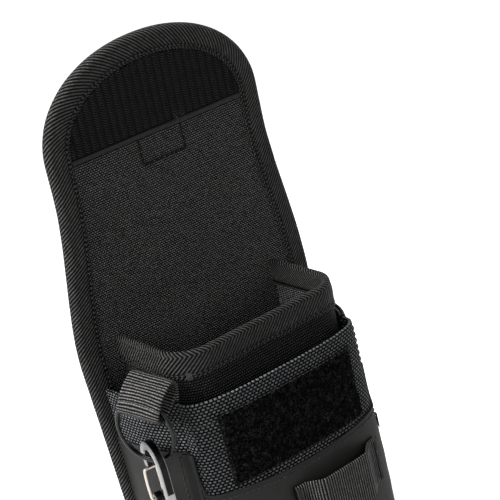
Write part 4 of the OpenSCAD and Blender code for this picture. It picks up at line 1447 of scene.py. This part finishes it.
def pale_finish():
    """Matt white, lit a little from within so that it stays pale."""
    f = Finish("pale_floor", rough=0.9, Specular_IOR_Level=0.1, Emission_Color=(1, 1, 1, 1),
               Emission_Strength=0.8)
    f.colour(f.mix(f.noise(f.place(1.0), 1.5), (0.86, 0.86, 0.86, 1), (0.9, 0.9, 0.9, 1)))
    return f.material


def sweep_points(radius=9.0, curve=2.5, top=9.0, turns=96):
    """A round floor that curves up into a wall: a flat disc, a quarter circle
    and a straight rise, carried round Z. Lengths in metres."""
    q = np.linspace(0, np.pi / 2, 12)
    r = np.concatenate([[0.001, radius - curve], radius - curve + curve * np.sin(q), [radius]])
    z = np.concatenate([[0, 0], curve * (1 - np.cos(q)), [top]])
    turn = np.arange(turns) * 2 * np.pi / turns
    return np.stack([r * np.cos(turn)[:, None], r * np.sin(turn)[:, None], z + 0 * turn[:, None]], -1)


floor = make("floor", [part(sweep_points() * 1000, wrap_u=True)], pale_finish())
floor.visible_diffuse = False


def soft_light(name, place_m, aim_z, size, power):
    """A square soft box aimed at a height on the Z axis. Lengths in metres."""
    data = bpy.data.lights.new(name, "AREA")
    data.size, data.energy = size, power
    lamp = bpy.data.objects.new(name, data)
    lamp.location = place_m
    lamp.rotation_euler = (Vector((0, 0, aim_z)) - Vector(place_m)).to_track_quat("-Z", "Y").to_euler()
    bpy.context.scene.collection.objects.link(lamp)


soft_light("key", (-0.85, 0.05, 0.75), 0.17, 0.45, 12)
soft_light("fill", (0.9, -0.9, 0.6), 0.12, 0.8, 1.2)
soft_light("front", (-0.6, -1.3, 0.6), 0.12, 0.6, 4.0)
soft_light("top", (0.1, 0.2, 1.2), 0.15, 0.5, 6)
world = bpy.data.worlds.new("studio")
world.use_nodes = True
background = world.node_tree.nodes["Background"].inputs
background["Color"].default_value = (1, 1, 1, 1)
background["Strength"].default_value = 0.14
bpy.context.scene.world = world
bpy.context.scene.view_settings.view_transform = "Standard"

# The camera looks down on the pouch from its left front, rolled clockwise. It
# stands off from a point at mid height, then moves a little aside and up.
azimuth, elevation, roll = np.radians([-31.4, 20.1, 13.9])
mid_height, stand_off, aside, above = 130.0, 804.6, 6.5, 46.0
back = np.array([np.sin(azimuth) * np.cos(elevation), -np.cos(azimuth) * np.cos(elevation),
                 np.sin(elevation)])
level = np.array([np.cos(azimuth), np.sin(azimuth), 0])
upright = np.cross(back, level)
camera_x = np.cos(roll) * level - np.sin(roll) * upright
camera_y = np.sin(roll) * level + np.cos(roll) * upright
eye = np.array([0, 0, mid_height]) + stand_off * back + aside * camera_x + above * camera_y
camera_data = bpy.data.cameras.new("camera")
camera_data.lens, camera_data.sensor_width = 114.73, 36.0
camera_data.clip_start, camera_data.clip_end = 0.05, 50
camera = bpy.data.objects.new("camera", camera_data)
turned_to = np.column_stack([camera_x, camera_y, back, eye / 1000])
camera.matrix_world = Matrix([*turned_to.tolist(), [0, 0, 0, 1]])
bpy.context.scene.collection.objects.link(camera)
bpy.context.scene.camera = camera

bpy.context.view_layer.update()
